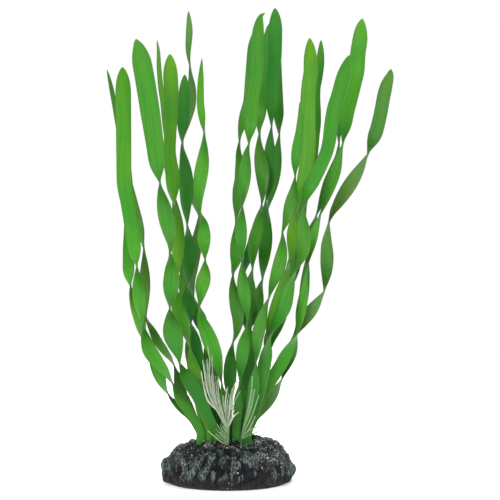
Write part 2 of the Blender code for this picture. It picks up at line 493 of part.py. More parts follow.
BASE_COLUMNS = 76
BASE_FRONT_CROWDING = 0.35
BASE_PROFILE = [(0.94, 0.0), (0.975, 1.2), (0.995, 3.2), (1.0, 5.4), (0.985, 7.9), (0.955, 10.4),
                (0.91, 13.0), (0.855, 15.5), (0.785, 17.8), (0.70, 20.0), (0.60, 22.0), (0.49, 23.8),
                (0.37, 25.2), (0.24, BASE_TOP)]
BASE_STILL_BAND = 4.0
STONE_SIZE = 10.5
STONE_RISE = 7.0
STONE_FOOT = 0.15
STONE_SHOULDER = 0.4
PIT_SIZE = 5.0
PIT_DEPTH = 1.3
RIDGE_COLUMNS = 3
RIDGE_HEIGHT = 1.3
RIDGE_SPAN = (-20.0, 5.0)
RIDGE_LEVEL = 15.0
RIDGE_REACH = 6.5

# Lumps as (across, depth, height, radius, rise)
BASE_LUMPS = [
    (-27.0, -20.0, 17.0, 7.5, 3.4), (-36.0, -8.0, 10.0, 7.0, 1.8), (-29.0, 3.0, 17.0, 9.0, 3.0),
    (14.0, -28.5, 6.0, 4.0, 2.0), (31.0, -13.0, 13.0, 8.0, 2.6), (34.0, 6.0, 14.0, 8.0, 2.6),
    (22.0, -22.0, 12.0, 6.0, 1.6), (-12.0, -28.5, 5.0, 6.0, 1.2), (-2.0, -31.0, 4.5, 5.0, 1.0),
    (28.5, 8.0, 21.0, 6.0, 4.4), (14.0, 24.0, 23.0, 7.5, 5.4), (20.0, 19.0, 21.5, 5.5, 3.6),
    (-6.0, 25.0, 21.0, 7.0, 3.0), (-22.0, 18.0, 19.0, 7.0, 2.4), (0.0, 31.0, 11.0, 8.0, 1.8),
    (-18.0, 27.0, 9.0, 7.0, 1.8), (20.0, 27.0, 9.0, 7.0, 1.6), (26.0, -6.0, 21.0, 5.0, 1.8),
    (18.0, -8.0, 24.0, 6.0, 4.2),
]


def base_point(column, ring):
    """A point of the casting's skin: the oval mound, with its stones, pits, lumps and ridges."""
    turn = 2 * pi * column / BASE_COLUMNS
    turn -= BASE_FRONT_CROWDING * sin(turn)
    share, height = BASE_PROFILE[ring]
    oval = Vector((BASE_HALF_WIDTH * sin(turn), -BASE_HALF_DEPTH * cos(turn), 0.0))
    point = oval * share + Vector((0.0, 0.0, height))
    if ring == 0:
        return point
    outward = Vector((oval.x / BASE_HALF_WIDTH ** 2, oval.y / BASE_HALF_DEPTH ** 2, 0.0)).normalized()
    steepness = (height / BASE_TOP) ** 3
    outward = (outward * (1.0 - steepness) + Vector((0.0, 0.0, steepness))).normalized()
    nearest, second = noise.voronoi(point / STONE_SIZE)[0][:2]
    push = STONE_RISE * (min(second - nearest, STONE_SHOULDER) - STONE_FOOT)
    push += PIT_DEPTH * noise.noise(point / PIT_SIZE)
    for across, depth, level, radius, rise in BASE_LUMPS:
        distance = (point - Vector((across, depth, level))).length
        push += rise * exp(-(distance / radius) ** 2)
    if point.y < 0 and RIDGE_SPAN[0] < point.x < RIDGE_SPAN[1]:
        level = exp(-((height - RIDGE_LEVEL) / RIDGE_REACH) ** 2)
        push += RIDGE_HEIGHT * level * cos(2 * pi * column / RIDGE_COLUMNS)
    return point + outward * push * min(height / BASE_STILL_BAND, 1.0)


def make_base(material):
    mesh_builder = bmesh.new()
    rings = []
    for ring in range(len(BASE_PROFILE)):
        rings.append([mesh_builder.verts.new(base_point(column, ring) * MM)
                      for column in range(BASE_COLUMNS)])
    for lower, upper in zip(rings, rings[1:]):
        for column in range(BASE_COLUMNS):
            following = (column + 1) % BASE_COLUMNS
            mesh_builder.faces.new((lower[column], lower[following], upper[following], upper[column]))
    mesh_builder.faces.new(rings[0])
    top = mesh_builder.verts.new(Vector((0.0, 0.0, BASE_TOP + 0.2)) * MM)
    for column in range(BASE_COLUMNS):
        mesh_builder.faces.new((rings[-1][column], rings[-1][(column + 1) % BASE_COLUMNS], top))
    bmesh.ops.recalc_face_normals(mesh_builder, faces=mesh_builder.faces)
    return add_object("base", mesh_builder, material)


def cut_sockets(base, feet):
    """One straight hole for each foot, a little wider than the foot and just deeper."""
    mesh_builder = bmesh.new()
    floor, mouth = FOOT_END - SOCKET_GAP, SOCKET_MOUTH
    for across, depth in feet:
        ring = bmesh.ops.create_circle(mesh_builder, cap_ends=True, segments=SOCKET_SIDES,
                                       radius=SOCKET_RADIUS * MM)["verts"]
        bmesh.ops.translate(mesh_builder, verts=ring, vec=Vector((across, depth, floor)) * MM)
        face = next(face for face in ring[0].link_faces)
        raised = bmesh.ops.extrude_face_region(mesh_builder, geom=[face])["geom"]
        raised = [part for part in raised if isinstance(part, bmesh.types.BMVert)]
        bmesh.ops.translate(mesh_builder, verts=raised, vec=Vector((0.0, 0.0, mouth - floor)) * MM)
    bmesh.ops.recalc_face_normals(mesh_builder, faces=mesh_builder.faces)
    cutter = add_object("socket_cutter", mesh_builder, base.data.materials[0])
    cut = base.modifiers.new("sockets", "BOOLEAN")
    cut.operation = "DIFFERENCE"
    cut.solver = "EXACT"
    cut.object = cutter
    apply_modifiers(base)
    bpy.data.objects.remove(cutter, do_unlink=True)


leaf_feet = []
for leaf in LEAVES:
    make_leaf(leaf)
    foot = leaf.point(leaf.foot)
    leaf_feet.append((foot.x, foot.y))

rootlet_plastic = plastic("rootlet_plastic", (0.55, 0.68, 0.42), 0.5)
for sprig_name, sprig_foot in SPRIG_FEET.items():
    make_sprig(sprig_name, sprig_foot, SPRIG_TOPS[sprig_name], STEM_RADII[sprig_name],
               SPRIG_ROOTLETS[sprig_name], rootlet_plastic)

base_casting = make_base(plastic("rock_resin", (0.05, 0.05, 0.045), 0.8))
cut_sockets(base_casting, leaf_feet + list(SPRIG_FEET.values()))
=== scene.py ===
"""Artificial crinum for an aquarium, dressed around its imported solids.

The file follows the plant as it is put together: the cast base, the leaves, the pale sprigs, and
then the table, the lamps and the camera. Metres, +Z up, with the plant's front at -Y.
"""
from math import cos, pi, radians, sin
from random import Random

import bmesh
import bpy
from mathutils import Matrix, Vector


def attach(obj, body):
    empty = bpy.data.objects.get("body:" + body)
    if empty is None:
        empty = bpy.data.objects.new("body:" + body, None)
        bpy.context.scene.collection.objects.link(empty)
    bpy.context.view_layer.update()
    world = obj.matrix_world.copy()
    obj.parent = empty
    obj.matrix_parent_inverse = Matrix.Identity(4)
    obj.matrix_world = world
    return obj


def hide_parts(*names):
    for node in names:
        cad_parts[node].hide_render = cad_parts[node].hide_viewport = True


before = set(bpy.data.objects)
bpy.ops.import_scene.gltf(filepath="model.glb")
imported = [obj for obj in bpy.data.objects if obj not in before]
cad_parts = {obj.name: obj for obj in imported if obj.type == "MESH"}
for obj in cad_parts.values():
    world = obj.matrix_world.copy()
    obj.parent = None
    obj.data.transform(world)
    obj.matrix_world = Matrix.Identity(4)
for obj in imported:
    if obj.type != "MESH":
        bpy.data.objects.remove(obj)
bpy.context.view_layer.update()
MM = 0.001


# The base is one casting of dark resin, weighted and moulded to look like rock, with a socket
# for each foot. It is near-black and dry-brushed in grey-green, so the paint lies on what stands
# proud. Small glossy stones are set in it round the plant's foot.

class Value:
    """A socket of a node tree. Arithmetic written on it adds the tree's Math nodes."""

    def __init__(self, tree, socket):
        self.tree, self.socket = tree, socket

    def math(self, operation, *operands):
        return self.tree.node("ShaderNodeMath", {"operation": operation}, dict(enumerate(operands)))

    def __add__(self, other):
        return self.math("ADD", self, other)

    def __sub__(self, other):
        return self.math("SUBTRACT", self, other)

    def __rsub__(self, other):
        return self.math("SUBTRACT", other, self)

    def __mul__(self, other):
        return self.math("MULTIPLY", self, other)

    def __abs__(self):
        return self.math("ABSOLUTE", self)

    __radd__, __rmul__ = __add__, __mul__

    def between(self, low, high):
        """0 at low, 1 at high and smooth between them."""
        return self.tree.node("ShaderNodeMapRange", {"interpolation_type": "SMOOTHSTEP"},
                              {"Value": self, "From Min": low, "From Max": high})


class Tree:
    """A node tree that is built from node types, their settings and the values of their sockets."""

    def __init__(self, node_tree):
        self.node_tree = node_tree
        self.node_tree.nodes.clear()

    def node(self, kind, settings=None, sockets=None, out=0):
        node = self.node_tree.nodes.new(kind)
        for name, value in (settings or {}).items():
            if name == "stops":
                ends = node.color_ramp.elements
                for end, (position, colour) in zip(ends, (value[0], value[-1])):
                    end.position, end.color = position, (*colour, 1.0)
                for position, colour in value[1:-1]:
                    ends.new(position).color = (*colour, 1.0)
            else:
                setattr(node, name, value)
        for name, value in (sockets or {}).items():
            if isinstance(name, str):
                socket = next(s for s in node.inputs if s.name == name and s.enabled)
            else:
                socket = node.inputs[name]
            if isinstance(value, Value):
                self.node_tree.links.new(value.socket, socket)
            else:
                socket.default_value = value
        if isinstance(out, str):
            return Value(self, next(s for s in node.outputs if s.name == out and s.enabled))
        return Value(self, node.outputs[out] if len(node.outputs) else None)

    def noise(self, place, scale, detail, roughness=0.5):
        """A cloudy pattern from 0 to 1. Its scale is the number of its cells to the metre."""
        return self.node("ShaderNodeTexNoise", {}, {"Vector": place, "Scale": scale, "Detail": detail,
                                                    "Roughness": roughness}, "Fac")

    def pebble_edge(self, place, scale):
        """The distance to the nearest edge between packed pebbles, as a share of a pebble."""
        return self.node("ShaderNodeTexVoronoi", {"feature": "DISTANCE_TO_EDGE"},
                         {"Vector": place, "Scale": scale, "Randomness": 1.0}, "Distance")

    def part(self, vector, axis):
        return self.node("ShaderNodeSeparateXYZ", {}, {0: vector}, axis)

    def attribute(self, name, out="Fac"):
        """A named value of the mesh, read in a material."""
        return self.node("ShaderNodeAttribute", {"attribute_name": name}, {}, out)

    def stored(self, name, kind="FLOAT"):
        """A named value of the mesh, read in a Geometry Nodes tree."""
        return self.node("GeometryNodeInputNamedAttribute", {"data_type": kind},
                         {"Name": name}, "Attribute")

    def scaled(self, vector, share):
        return self.node("ShaderNodeVectorMath", {"operation": "SCALE"},
                         {"Vector": vector, "Scale": share})

    def stretched(self, vector, shares):
        return self.node("ShaderNodeVectorMath", {"operation": "MULTIPLY"}, {0: vector, 1: shares})

    def draw(self, low, high, seed, kind="FLOAT"):
        """A random value between two others, the same on every run."""
        return self.node("FunctionNodeRandomValue", {"data_type": kind},
                         {"Min": low, "Max": high, "Seed": seed}, "Value")

    def store(self, geometry, name, value, domain="POINT", kind="FLOAT"):
        return self.node("GeometryNodeStoreNamedAttribute", {"data_type": kind, "domain": domain},
                         {"Geometry": geometry, "Name": name, "Value": value})

    def colour_mix(self, first, second, share):
        return self.node("ShaderNodeMix", {"data_type": "RGBA"},
                         {"Factor": share, "A": first, "B": second}, "Result")

    def plastic(self, colour, roughness, shine, **more):
        """Ends a material: a painted or moulded surface, with any further sockets by name."""
        sockets = {"Base Color": colour, "Roughness": roughness, "Specular IOR Level": shine}
        sockets.update({name.replace("_", " "): value for name, value in more.items()})
        shader = self.node("ShaderNodeBsdfPrincipled", {}, sockets)
        self.node("ShaderNodeOutputMaterial", {}, {"Surface": shader})


def new_material(name):
    material = bpy.data.materials.new(name)
    material.use_nodes = True
    return material, Tree(material.node_tree)


def new_geometry_tree(name, sizes):
    """A Geometry Nodes tree with a geometry input, named number inputs and a geometry output."""
    group = bpy.data.node_groups.new(name, "GeometryNodeTree")
    faces = group.interface
    faces.new_socket("Geometry", in_out="INPUT", socket_type="NodeSocketGeometry")
    for size in sizes:
        faces.new_socket(size, in_out="INPUT", socket_type="NodeSocketFloat")
    faces.new_socket("Material", in_out="INPUT", socket_type="NodeSocketMaterial")
    faces.new_socket("Geometry", in_out="OUTPUT", socket_type="NodeSocketGeometry")
    tree = Tree(group)
    entry = tree.node("NodeGroupInput")
    inputs = {socket.name: Value(tree, socket) for socket in entry.socket.node.outputs if socket.name}
    return tree, inputs


def finish_tree(tree, geometry, material):
    """Ends a tree: instances are made real, the material is set, and the geometry goes out."""
    real = tree.node("GeometryNodeRealizeInstances", {}, {"Geometry": geometry})
    dressed = tree.node("GeometryNodeSetMaterial", {}, {"Geometry": real, "Material": material})
    tree.node("NodeGroupOutput", {}, {0: dressed})


def grow(thing, tree, sizes, material):
    """Runs a tree on an object and keeps its result as the object's own plain mesh."""
    modifier = thing.modifiers.new(tree.node_tree.name, "NODES")
    modifier.node_group = tree.node_tree
    for item in tree.node_tree.interface.items_tree:
        if item.in_out == "INPUT" and item.name in sizes:
            modifier[item.identifier] = sizes[item.name]
        elif item.in_out == "INPUT" and item.name == "Material":
            modifier[item.identifier] = material
    return keep_result(thing)


def keep_result(thing):
    depsgraph = bpy.context.evaluated_depsgraph_get()
    finished = bpy.data.meshes.new_from_object(thing.evaluated_get(depsgraph))
    thing.modifiers.clear()
    old_mesh, thing.data = thing.data, finished
    bpy.data.meshes.remove(old_mesh)
    return thing


def add_piece(name, mesh):
    piece = bpy.data.objects.new(name, mesh)
    bpy.context.scene.collection.objects.link(piece)
    return piece


def smooth_faces(piece):
    piece.data.polygons.foreach_set("use_smooth", [True] * len(piece.data.polygons))


MERGE_DISTANCE = 0.00001
SKIN_STEP = 0.6 * MM
SKIN_BLUR_STEPS = 3


def casting_skin():
    """A fine even skin over the casting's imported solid."""
    skin = bmesh.new()
    skin.from_mesh(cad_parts["base"].data)
    bmesh.ops.remove_doubles(skin, verts=skin.verts, dist=MERGE_DISTANCE)
    mesh = bpy.data.meshes.new("base_casting")
    skin.to_mesh(mesh)
    skin.free()
    piece = add_piece("base_casting", mesh)
    remesh = piece.modifiers.new("skin", "REMESH")
    remesh.mode = "VOXEL"
    remesh.voxel_size = SKIN_STEP
    blur = piece.modifiers.new("soften", "SMOOTH")
    blur.factor, blur.iterations = 0.5, SKIN_BLUR_STEPS
    return keep_result(piece)


# Where the gravel fades in on the casting, and how fine the rock's patterns are
CREST_GRAVEL_HEIGHT = (21.0 * MM, 24.0 * MM)
RIGHT_GRAVEL_ACROSS, RIGHT_GRAVEL_HEIGHT = (12.0 * MM, 20.0 * MM), (9.0 * MM, 15.0 * MM)
LEFT_GRAVEL_ACROSS, LEFT_GRAVEL_HEIGHT = (-17.0 * MM, -22.0 * MM), (11.0 * MM, 15.0 * MM)
BACK_GRAVEL_DEPTH, BACK_GRAVEL_HEIGHT = (2.0 * MM, 12.0 * MM), (6.0 * MM, 10.0 * MM)
FLAT_RIM = (0.4 * MM, 3.0 * MM)
LOW_BAND = (8.0 * MM, 4.0 * MM)
PATCH_SHARE = 1.6
GRAVEL_EDGE, FLUTE_EDGE, PEBBLE_SHOULDER = (0.10, 0.95), (0.42, 0.55), (0.0, 0.30)
PEBBLES_TO_THE_METRE, PEBBLE_RIMS_TO_THE_METRE = 430.0, 600.0
FLUTES_TO_THE_METRE, STROKES_TO_THE_METRE = 230.0, 1000.0
FLUTE_STRETCH, STROKE_STRETCH = (1.0, 1.0, 0.06), (1.0, 1.0, 0.07)


def rock_tree():
    """Raises gravel, upright flutes and grain on the skin, and keeps the underside flat."""
    tree, sizes = new_geometry_tree("rock_skin", ["Gravel rise", "Flute rise", "Grain rise"])
    position = tree.node("GeometryNodeInputPosition")
    normal = tree.node("GeometryNodeInputNormal")
    across, depth, height = (tree.part(position, axis) for axis in "XYZ")
    patch = tree.noise(position, scale=90.0, detail=1.0)
    crest = height.between(*CREST_GRAVEL_HEIGHT)
    right_side = across.between(*RIGHT_GRAVEL_ACROSS) * height.between(*RIGHT_GRAVEL_HEIGHT)
    left_lump = across.between(*LEFT_GRAVEL_ACROSS) * height.between(*LEFT_GRAVEL_HEIGHT)
    behind = depth.between(*BACK_GRAVEL_DEPTH) * height.between(*BACK_GRAVEL_HEIGHT)
    places = crest + right_side + left_lump + behind + (patch - 0.5) * PATCH_SHARE
    gravelly = places.between(*GRAVEL_EDGE)
    pebble = tree.pebble_edge(position, PEBBLES_TO_THE_METRE).between(*PEBBLE_SHOULDER)
    upright = tree.stretched(position, FLUTE_STRETCH)
    flutes = tree.noise(upright, FLUTES_TO_THE_METRE, detail=2.0, roughness=0.6)
    flute = flutes.between(*FLUTE_EDGE)
    grain = tree.noise(position, scale=850.0, detail=2.0, roughness=0.6)
    flat = 1.0 - gravelly
    rise = (gravelly * pebble * sizes["Gravel rise"] + flat * flute * sizes["Flute rise"]
            + (grain - 0.5) * sizes["Grain rise"])
    kept = tree.store(sizes["Geometry"], "proud", gravelly * pebble + flat * flute)
    kept = tree.store(kept, "gravelly", gravelly)
    moved = tree.node("GeometryNodeSetPosition", {}, {
        "Geometry": kept, "Offset": tree.scaled(normal, rise * height.between(*FLAT_RIM))})
    finish_tree(tree, moved, sizes["Material"])
    return tree


RESIN_BLACK, RESIN_VIOLET = (0.003, 0.004, 0.004, 1.0), (0.005, 0.004, 0.008, 1.0)
BRUSH_SHADOW, BRUSH_PALE = (0.030, 0.046, 0.041, 1.0), (0.13, 0.17, 0.157, 1.0)
EARTH_BLACK, EARTH_BROWN = (0.006, 0.005, 0.004, 1.0), (0.036, 0.031, 0.027, 1.0)
PEBBLE_RIM, WHITE_SPECK = (0.32, 0.36, 0.34, 1.0), (0.42, 0.42, 0.38, 1.0)


def rock_resin():
    """Near-black resin, dry-brushed grey-green where it stands proud, browner at the bottom."""
    material, tree = new_material("rock_resin")
    place = tree.node("ShaderNodeTexCoord", {}, {}, "Object")
    proud, gravelly = tree.attribute("proud"), tree.attribute("gravelly")
    patch = tree.noise(place, scale=120.0, detail=2.0)
    fleck = tree.noise(place, scale=1000.0, detail=2.0)
    tint = tree.noise(place, scale=45.0, detail=1.0)
    upright = tree.stretched(place, STROKE_STRETCH)
    strokes = tree.noise(upright, STROKES_TO_THE_METRE, detail=2.0, roughness=0.6)
    pebbles = tree.pebble_edge(place, PEBBLE_RIMS_TO_THE_METRE)
    dark = tree.colour_mix(RESIN_BLACK, RESIN_VIOLET, tint.between(0.45, 0.6))
    brush = tree.colour_mix(BRUSH_SHADOW, BRUSH_PALE, strokes.between(0.45, 0.66))
    low_band = tree.part(place, "Z").between(*LOW_BAND)
    brushed = proud.between(0.3, 0.9) * strokes.between(0.40, 0.50) * (1.0 - low_band * 0.85)
    colour = tree.colour_mix(dark, brush, brushed * (1.0 - gravelly * 0.8))
    earth = tree.colour_mix(EARTH_BLACK, EARTH_BROWN, fleck.between(0.50, 0.66))
    colour = tree.colour_mix(colour, earth, low_band * 0.8)
    rims = pebbles.between(0.13, 0.02) * patch.between(0.46, 0.60) * gravelly
    colour = tree.colour_mix(colour, PEBBLE_RIM, rims * 0.85)
    colour = tree.colour_mix(colour, WHITE_SPECK, fleck.between(0.64, 0.72) * gravelly * 0.7)
    bump = tree.node("ShaderNodeBump", {}, {"Strength": 0.4, "Distance": 0.3 * MM, "Height": fleck})
    tree.plastic(colour, roughness=0.75 - 0.3 * patch, shine=0.22, Normal=bump)
    return material


STONE_SEGMENTS, STONE_RINGS = 7, 5
STONE_PROPORTIONS = ((1.0, 0.8, 0.5), (1.4, 1.1, 0.8))
STRAY_STONES = 0.06


def grain_tree():
    """Scatters small flattened stones over the gravelly places of the skin."""
    tree, sizes = new_geometry_tree("gravel_grains", ["Density", "Smallest", "Largest"])
    share = tree.stored("gravelly") * (1.0 - STRAY_STONES) + STRAY_STONES
    spread = tree.node("GeometryNodeDistributePointsOnFaces", {"distribute_method": "RANDOM"},
                       {"Mesh": sizes["Geometry"], "Density": sizes["Density"] * share, "Seed": 11})
    upright = Value(tree, spread.socket.node.outputs["Rotation"])
    stone = tree.node("GeometryNodeMeshUVSphere", {}, {
        "Segments": STONE_SEGMENTS, "Rings": STONE_RINGS, "Radius": 1.0})
    size = tree.draw(*STONE_PROPORTIONS, seed=5, kind="FLOAT_VECTOR")
    size = tree.scaled(size, tree.draw(sizes["Smallest"], sizes["Largest"], seed=6))
    spun = tree.node("FunctionNodeAxisAngleToRotation", {}, {
        "Axis": (0.0, 0.0, 1.0), "Angle": tree.draw(0.0, 2 * pi, seed=7)})
    turned = tree.node("FunctionNodeRotateRotation", {"rotation_space": "LOCAL"}, {0: upright, 1: spun})
    stones = tree.node("GeometryNodeInstanceOnPoints", {}, {
        "Points": spread, "Instance": stone, "Rotation": turned, "Scale": size})
    kept = tree.store(stones, "shade", tree.draw(0.0, 1.0, seed=8), "INSTANCE")
    finish_tree(tree, kept, sizes["Material"])
    return tree


def grain_paint():
    """Glossy stones: most near-black or grey, a few white, pinkish or yellowish."""
    material, tree = new_material("gravel_grains")
    paint = tree.node("ShaderNodeValToRGB", {"stops": [
        (0.0, (0.004, 0.004, 0.005)), (0.52, (0.008, 0.008, 0.010)), (0.62, (0.030, 0.040, 0.036)),
        (0.78, (0.070, 0.095, 0.085)), (0.88, (0.17, 0.20, 0.185)), (0.94, (0.34, 0.36, 0.33)),
        (0.96, (0.36, 0.23, 0.22)), (0.98, (0.34, 0.31, 0.16)), (1.0, (0.62, 0.62, 0.57))]},
        {"Fac": tree.attribute("shade")}, "Color")
    tree.plastic(paint, roughness=0.35, shine=0.4)
    return material


base_casting = casting_skin()
grow(base_casting, rock_tree(),
     {"Gravel rise": 0.7 * MM, "Flute rise": 1.1 * MM, "Grain rise": 0.35 * MM}, rock_resin())
base_grains = add_piece("base_grains", base_casting.data.copy())
grow(base_grains, grain_tree(), {"Density": 260000.0, "Smallest": 0.26 * MM, "Largest": 0.68 * MM},
     grain_paint())
for piece in (base_casting, base_grains):
    smooth_faces(piece)
    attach(piece, "root")
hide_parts("base")


# The leaves are long ribbons of soft green plastic, each moulded with a twist, a slight trough
# and fine lengthwise veins, and glued by its foot in a socket of the base. Each follows the route
# of its solid. The tables give millimetres, and MM turns them into metres.

PLANT_HEIGHT = 283.8
FOOT_END = 20.0
FOOT_STRAIGHT = 28.0
FOOT_WIDTH = 5.4
NECK_HEIGHT = 36.0
NECK_WIDTH = 5.0
BLADE_THICKNESS = 1.0
TIP_THICKNESS = 0.5
TIP_TAPER = 15.0
TIP_SHARPNESS = 0.68
TIP_TURN_KEPT = 0.4
ROUTE_STEP = 0.5
LEAF_STEP = 1.5
TIP_STEPS = (0.02, 0.08, 0.2, 0.4, 0.7, 1.1, 1.6, 2.2, 3.0, 4.0, 5.2)

# The routes are drawn in the plant's front view, on the plane through the middle of the base. A
# point in front of that plane or behind it lies on the same line of sight.
EYE_ACROSS = 13.2
EYE_HEIGHT = 138.6
EYE_DISTANCE = 800.0


def sight_scale(depth):
    return (EYE_DISTANCE + depth) / EYE_DISTANCE


def place(across, depth, height):
    """A point of the front view, moved along its line of sight to a depth."""
    scale = sight_scale(depth)
    return Vector((EYE_ACROSS + (across - EYE_ACROSS) * scale, depth,
                   EYE_HEIGHT + (height - EYE_HEIGHT) * scale))


def through(keys, at):
    """A smooth curve through (position, value) keys, with no overshoot between them."""
    keys = sorted(keys)
    if at <= keys[0][0]:
        return keys[0][1]
    if at >= keys[-1][0]:
        return keys[-1][1]
    slopes = [(b[1] - a[1]) / (b[0] - a[0]) for a, b in zip(keys, keys[1:])]

    def tangent(index):
        if index == 0 or index == len(keys) - 1:
            return slopes[0] if index == 0 else slopes[-1]
        before, after = slopes[index - 1], slopes[index]
        return 2 * before * after / (before + after) if before * after > 0 else 0.0

    for index, (low, high) in enumerate(zip(keys, keys[1:])):
        if at <= high[0]:
            span = high[0] - low[0]
            t = (at - low[0]) / span
            ends = (2 * t ** 3 - 3 * t ** 2 + 1) * low[1] + (3 * t ** 2 - 2 * t ** 3) * high[1]
            leaning = (t ** 3 - 2 * t ** 2 + t) * tangent(index) + (t ** 3 - t ** 2) * tangent(index + 1)
            return ends + leaning * span


class Leaf:
    """A leaf, written from tip to foot: its route as (across, height), its depth as (height, depth),
    its width as (height, width), and the heights at which it stands edge-on. It starts from
    tip_turn degrees at its tip, and turns on from the height turn_from."""

    def __init__(self, name, colour, route, depth, width, edge_on, tip_turn=0.0, turn_from=None):
        self.name, self.colour = name, colour
        self.tip = route[0][1]
        foot_across, foot_depth = route[-1][0], depth[-1][1]
        self.foot = EYE_HEIGHT - (EYE_HEIGHT - FOOT_END) / sight_scale(foot_depth)
        self.across = [(height, across) for across, height in route] + [(self.foot, foot_across)]
        self.depth = depth + [(self.foot, foot_depth)]
        self.width = width + [(NECK_HEIGHT, NECK_WIDTH), (self.foot, FOOT_WIDTH)]
        pitch = (edge_on[0] - edge_on[-1]) / (len(edge_on) - 1)
        turn_from = turn_from or edge_on[0] + pitch / 2
        self.turn = [(self.tip, tip_turn), (turn_from, tip_turn * TIP_TURN_KEPT)]
        self.turn += [(height, 90.0 + 180.0 * count) for count, height in enumerate(edge_on)]
        flat_from = max(edge_on[-1] - pitch / 2, self.foot + ROUTE_STEP)
        flat_turn = self.turn[-1][1] + 90.0
        self.turn += [(flat_from, flat_turn), (self.foot, flat_turn)]

    def point(self, height):
        return place(through(self.across, height), through(self.depth, height), height)

    def fact(self, height):
        """The spine, the directions and the half sizes of the ribbon at a height, in metres."""
        centre = self.point(height)
        low, high = max(height - ROUTE_STEP, self.foot), min(height + ROUTE_STEP, self.tip)
        tangent = (self.point(low) - self.point(high)).normalized()
        side = tangent.cross(Vector((0.0, 1.0, 0.0))).normalized()
        turn = radians(through(self.turn, height))
        across = cos(turn) * side + sin(turn) * tangent.cross(side)
        from_tip = min((self.tip - height) / TIP_TAPER, 1.0)
        taper = max(1.0 - (1.0 - from_tip) ** 2, 0.0) ** TIP_SHARPNESS
        half_width = through(self.width, height) * taper * sight_scale(centre.y) / 2
        thickness = TIP_THICKNESS + (BLADE_THICKNESS - TIP_THICKNESS) * from_tip
        # The tone is how nearly edge-on the blade stands here; the leaf's material turns it into painted
        # shade at each twist.
        return {"spine": centre * MM, "across": across, "crown": tangent.cross(across),
                "half_width": half_width * MM, "half_thick": thickness * min(taper * 2, 1.0) * MM / 2,
                "down": (self.tip - height) * MM, "tone": abs(sin(turn))}

    def path(self):
        heights = [self.tip - step for step in TIP_STEPS]
        while heights[-1] - LEAF_STEP > self.foot:
            heights.append(heights[-1] - LEAF_STEP)
        return [self.fact(height) for height in heights + [self.foot]]


# The greens of the leaves' plastic
LIGHT_GREEN = (0.084, 0.310, 0.012)
BRIGHT_GREEN = (0.051, 0.272, 0.012)
MIDDLE_GREEN = (0.040, 0.230, 0.014)
DEEP_GREEN = (0.021, 0.195, 0.014)
OLIVE_GREEN = (0.071, 0.250, 0.022)
DULL_GREEN = (0.062, 0.228, 0.031)

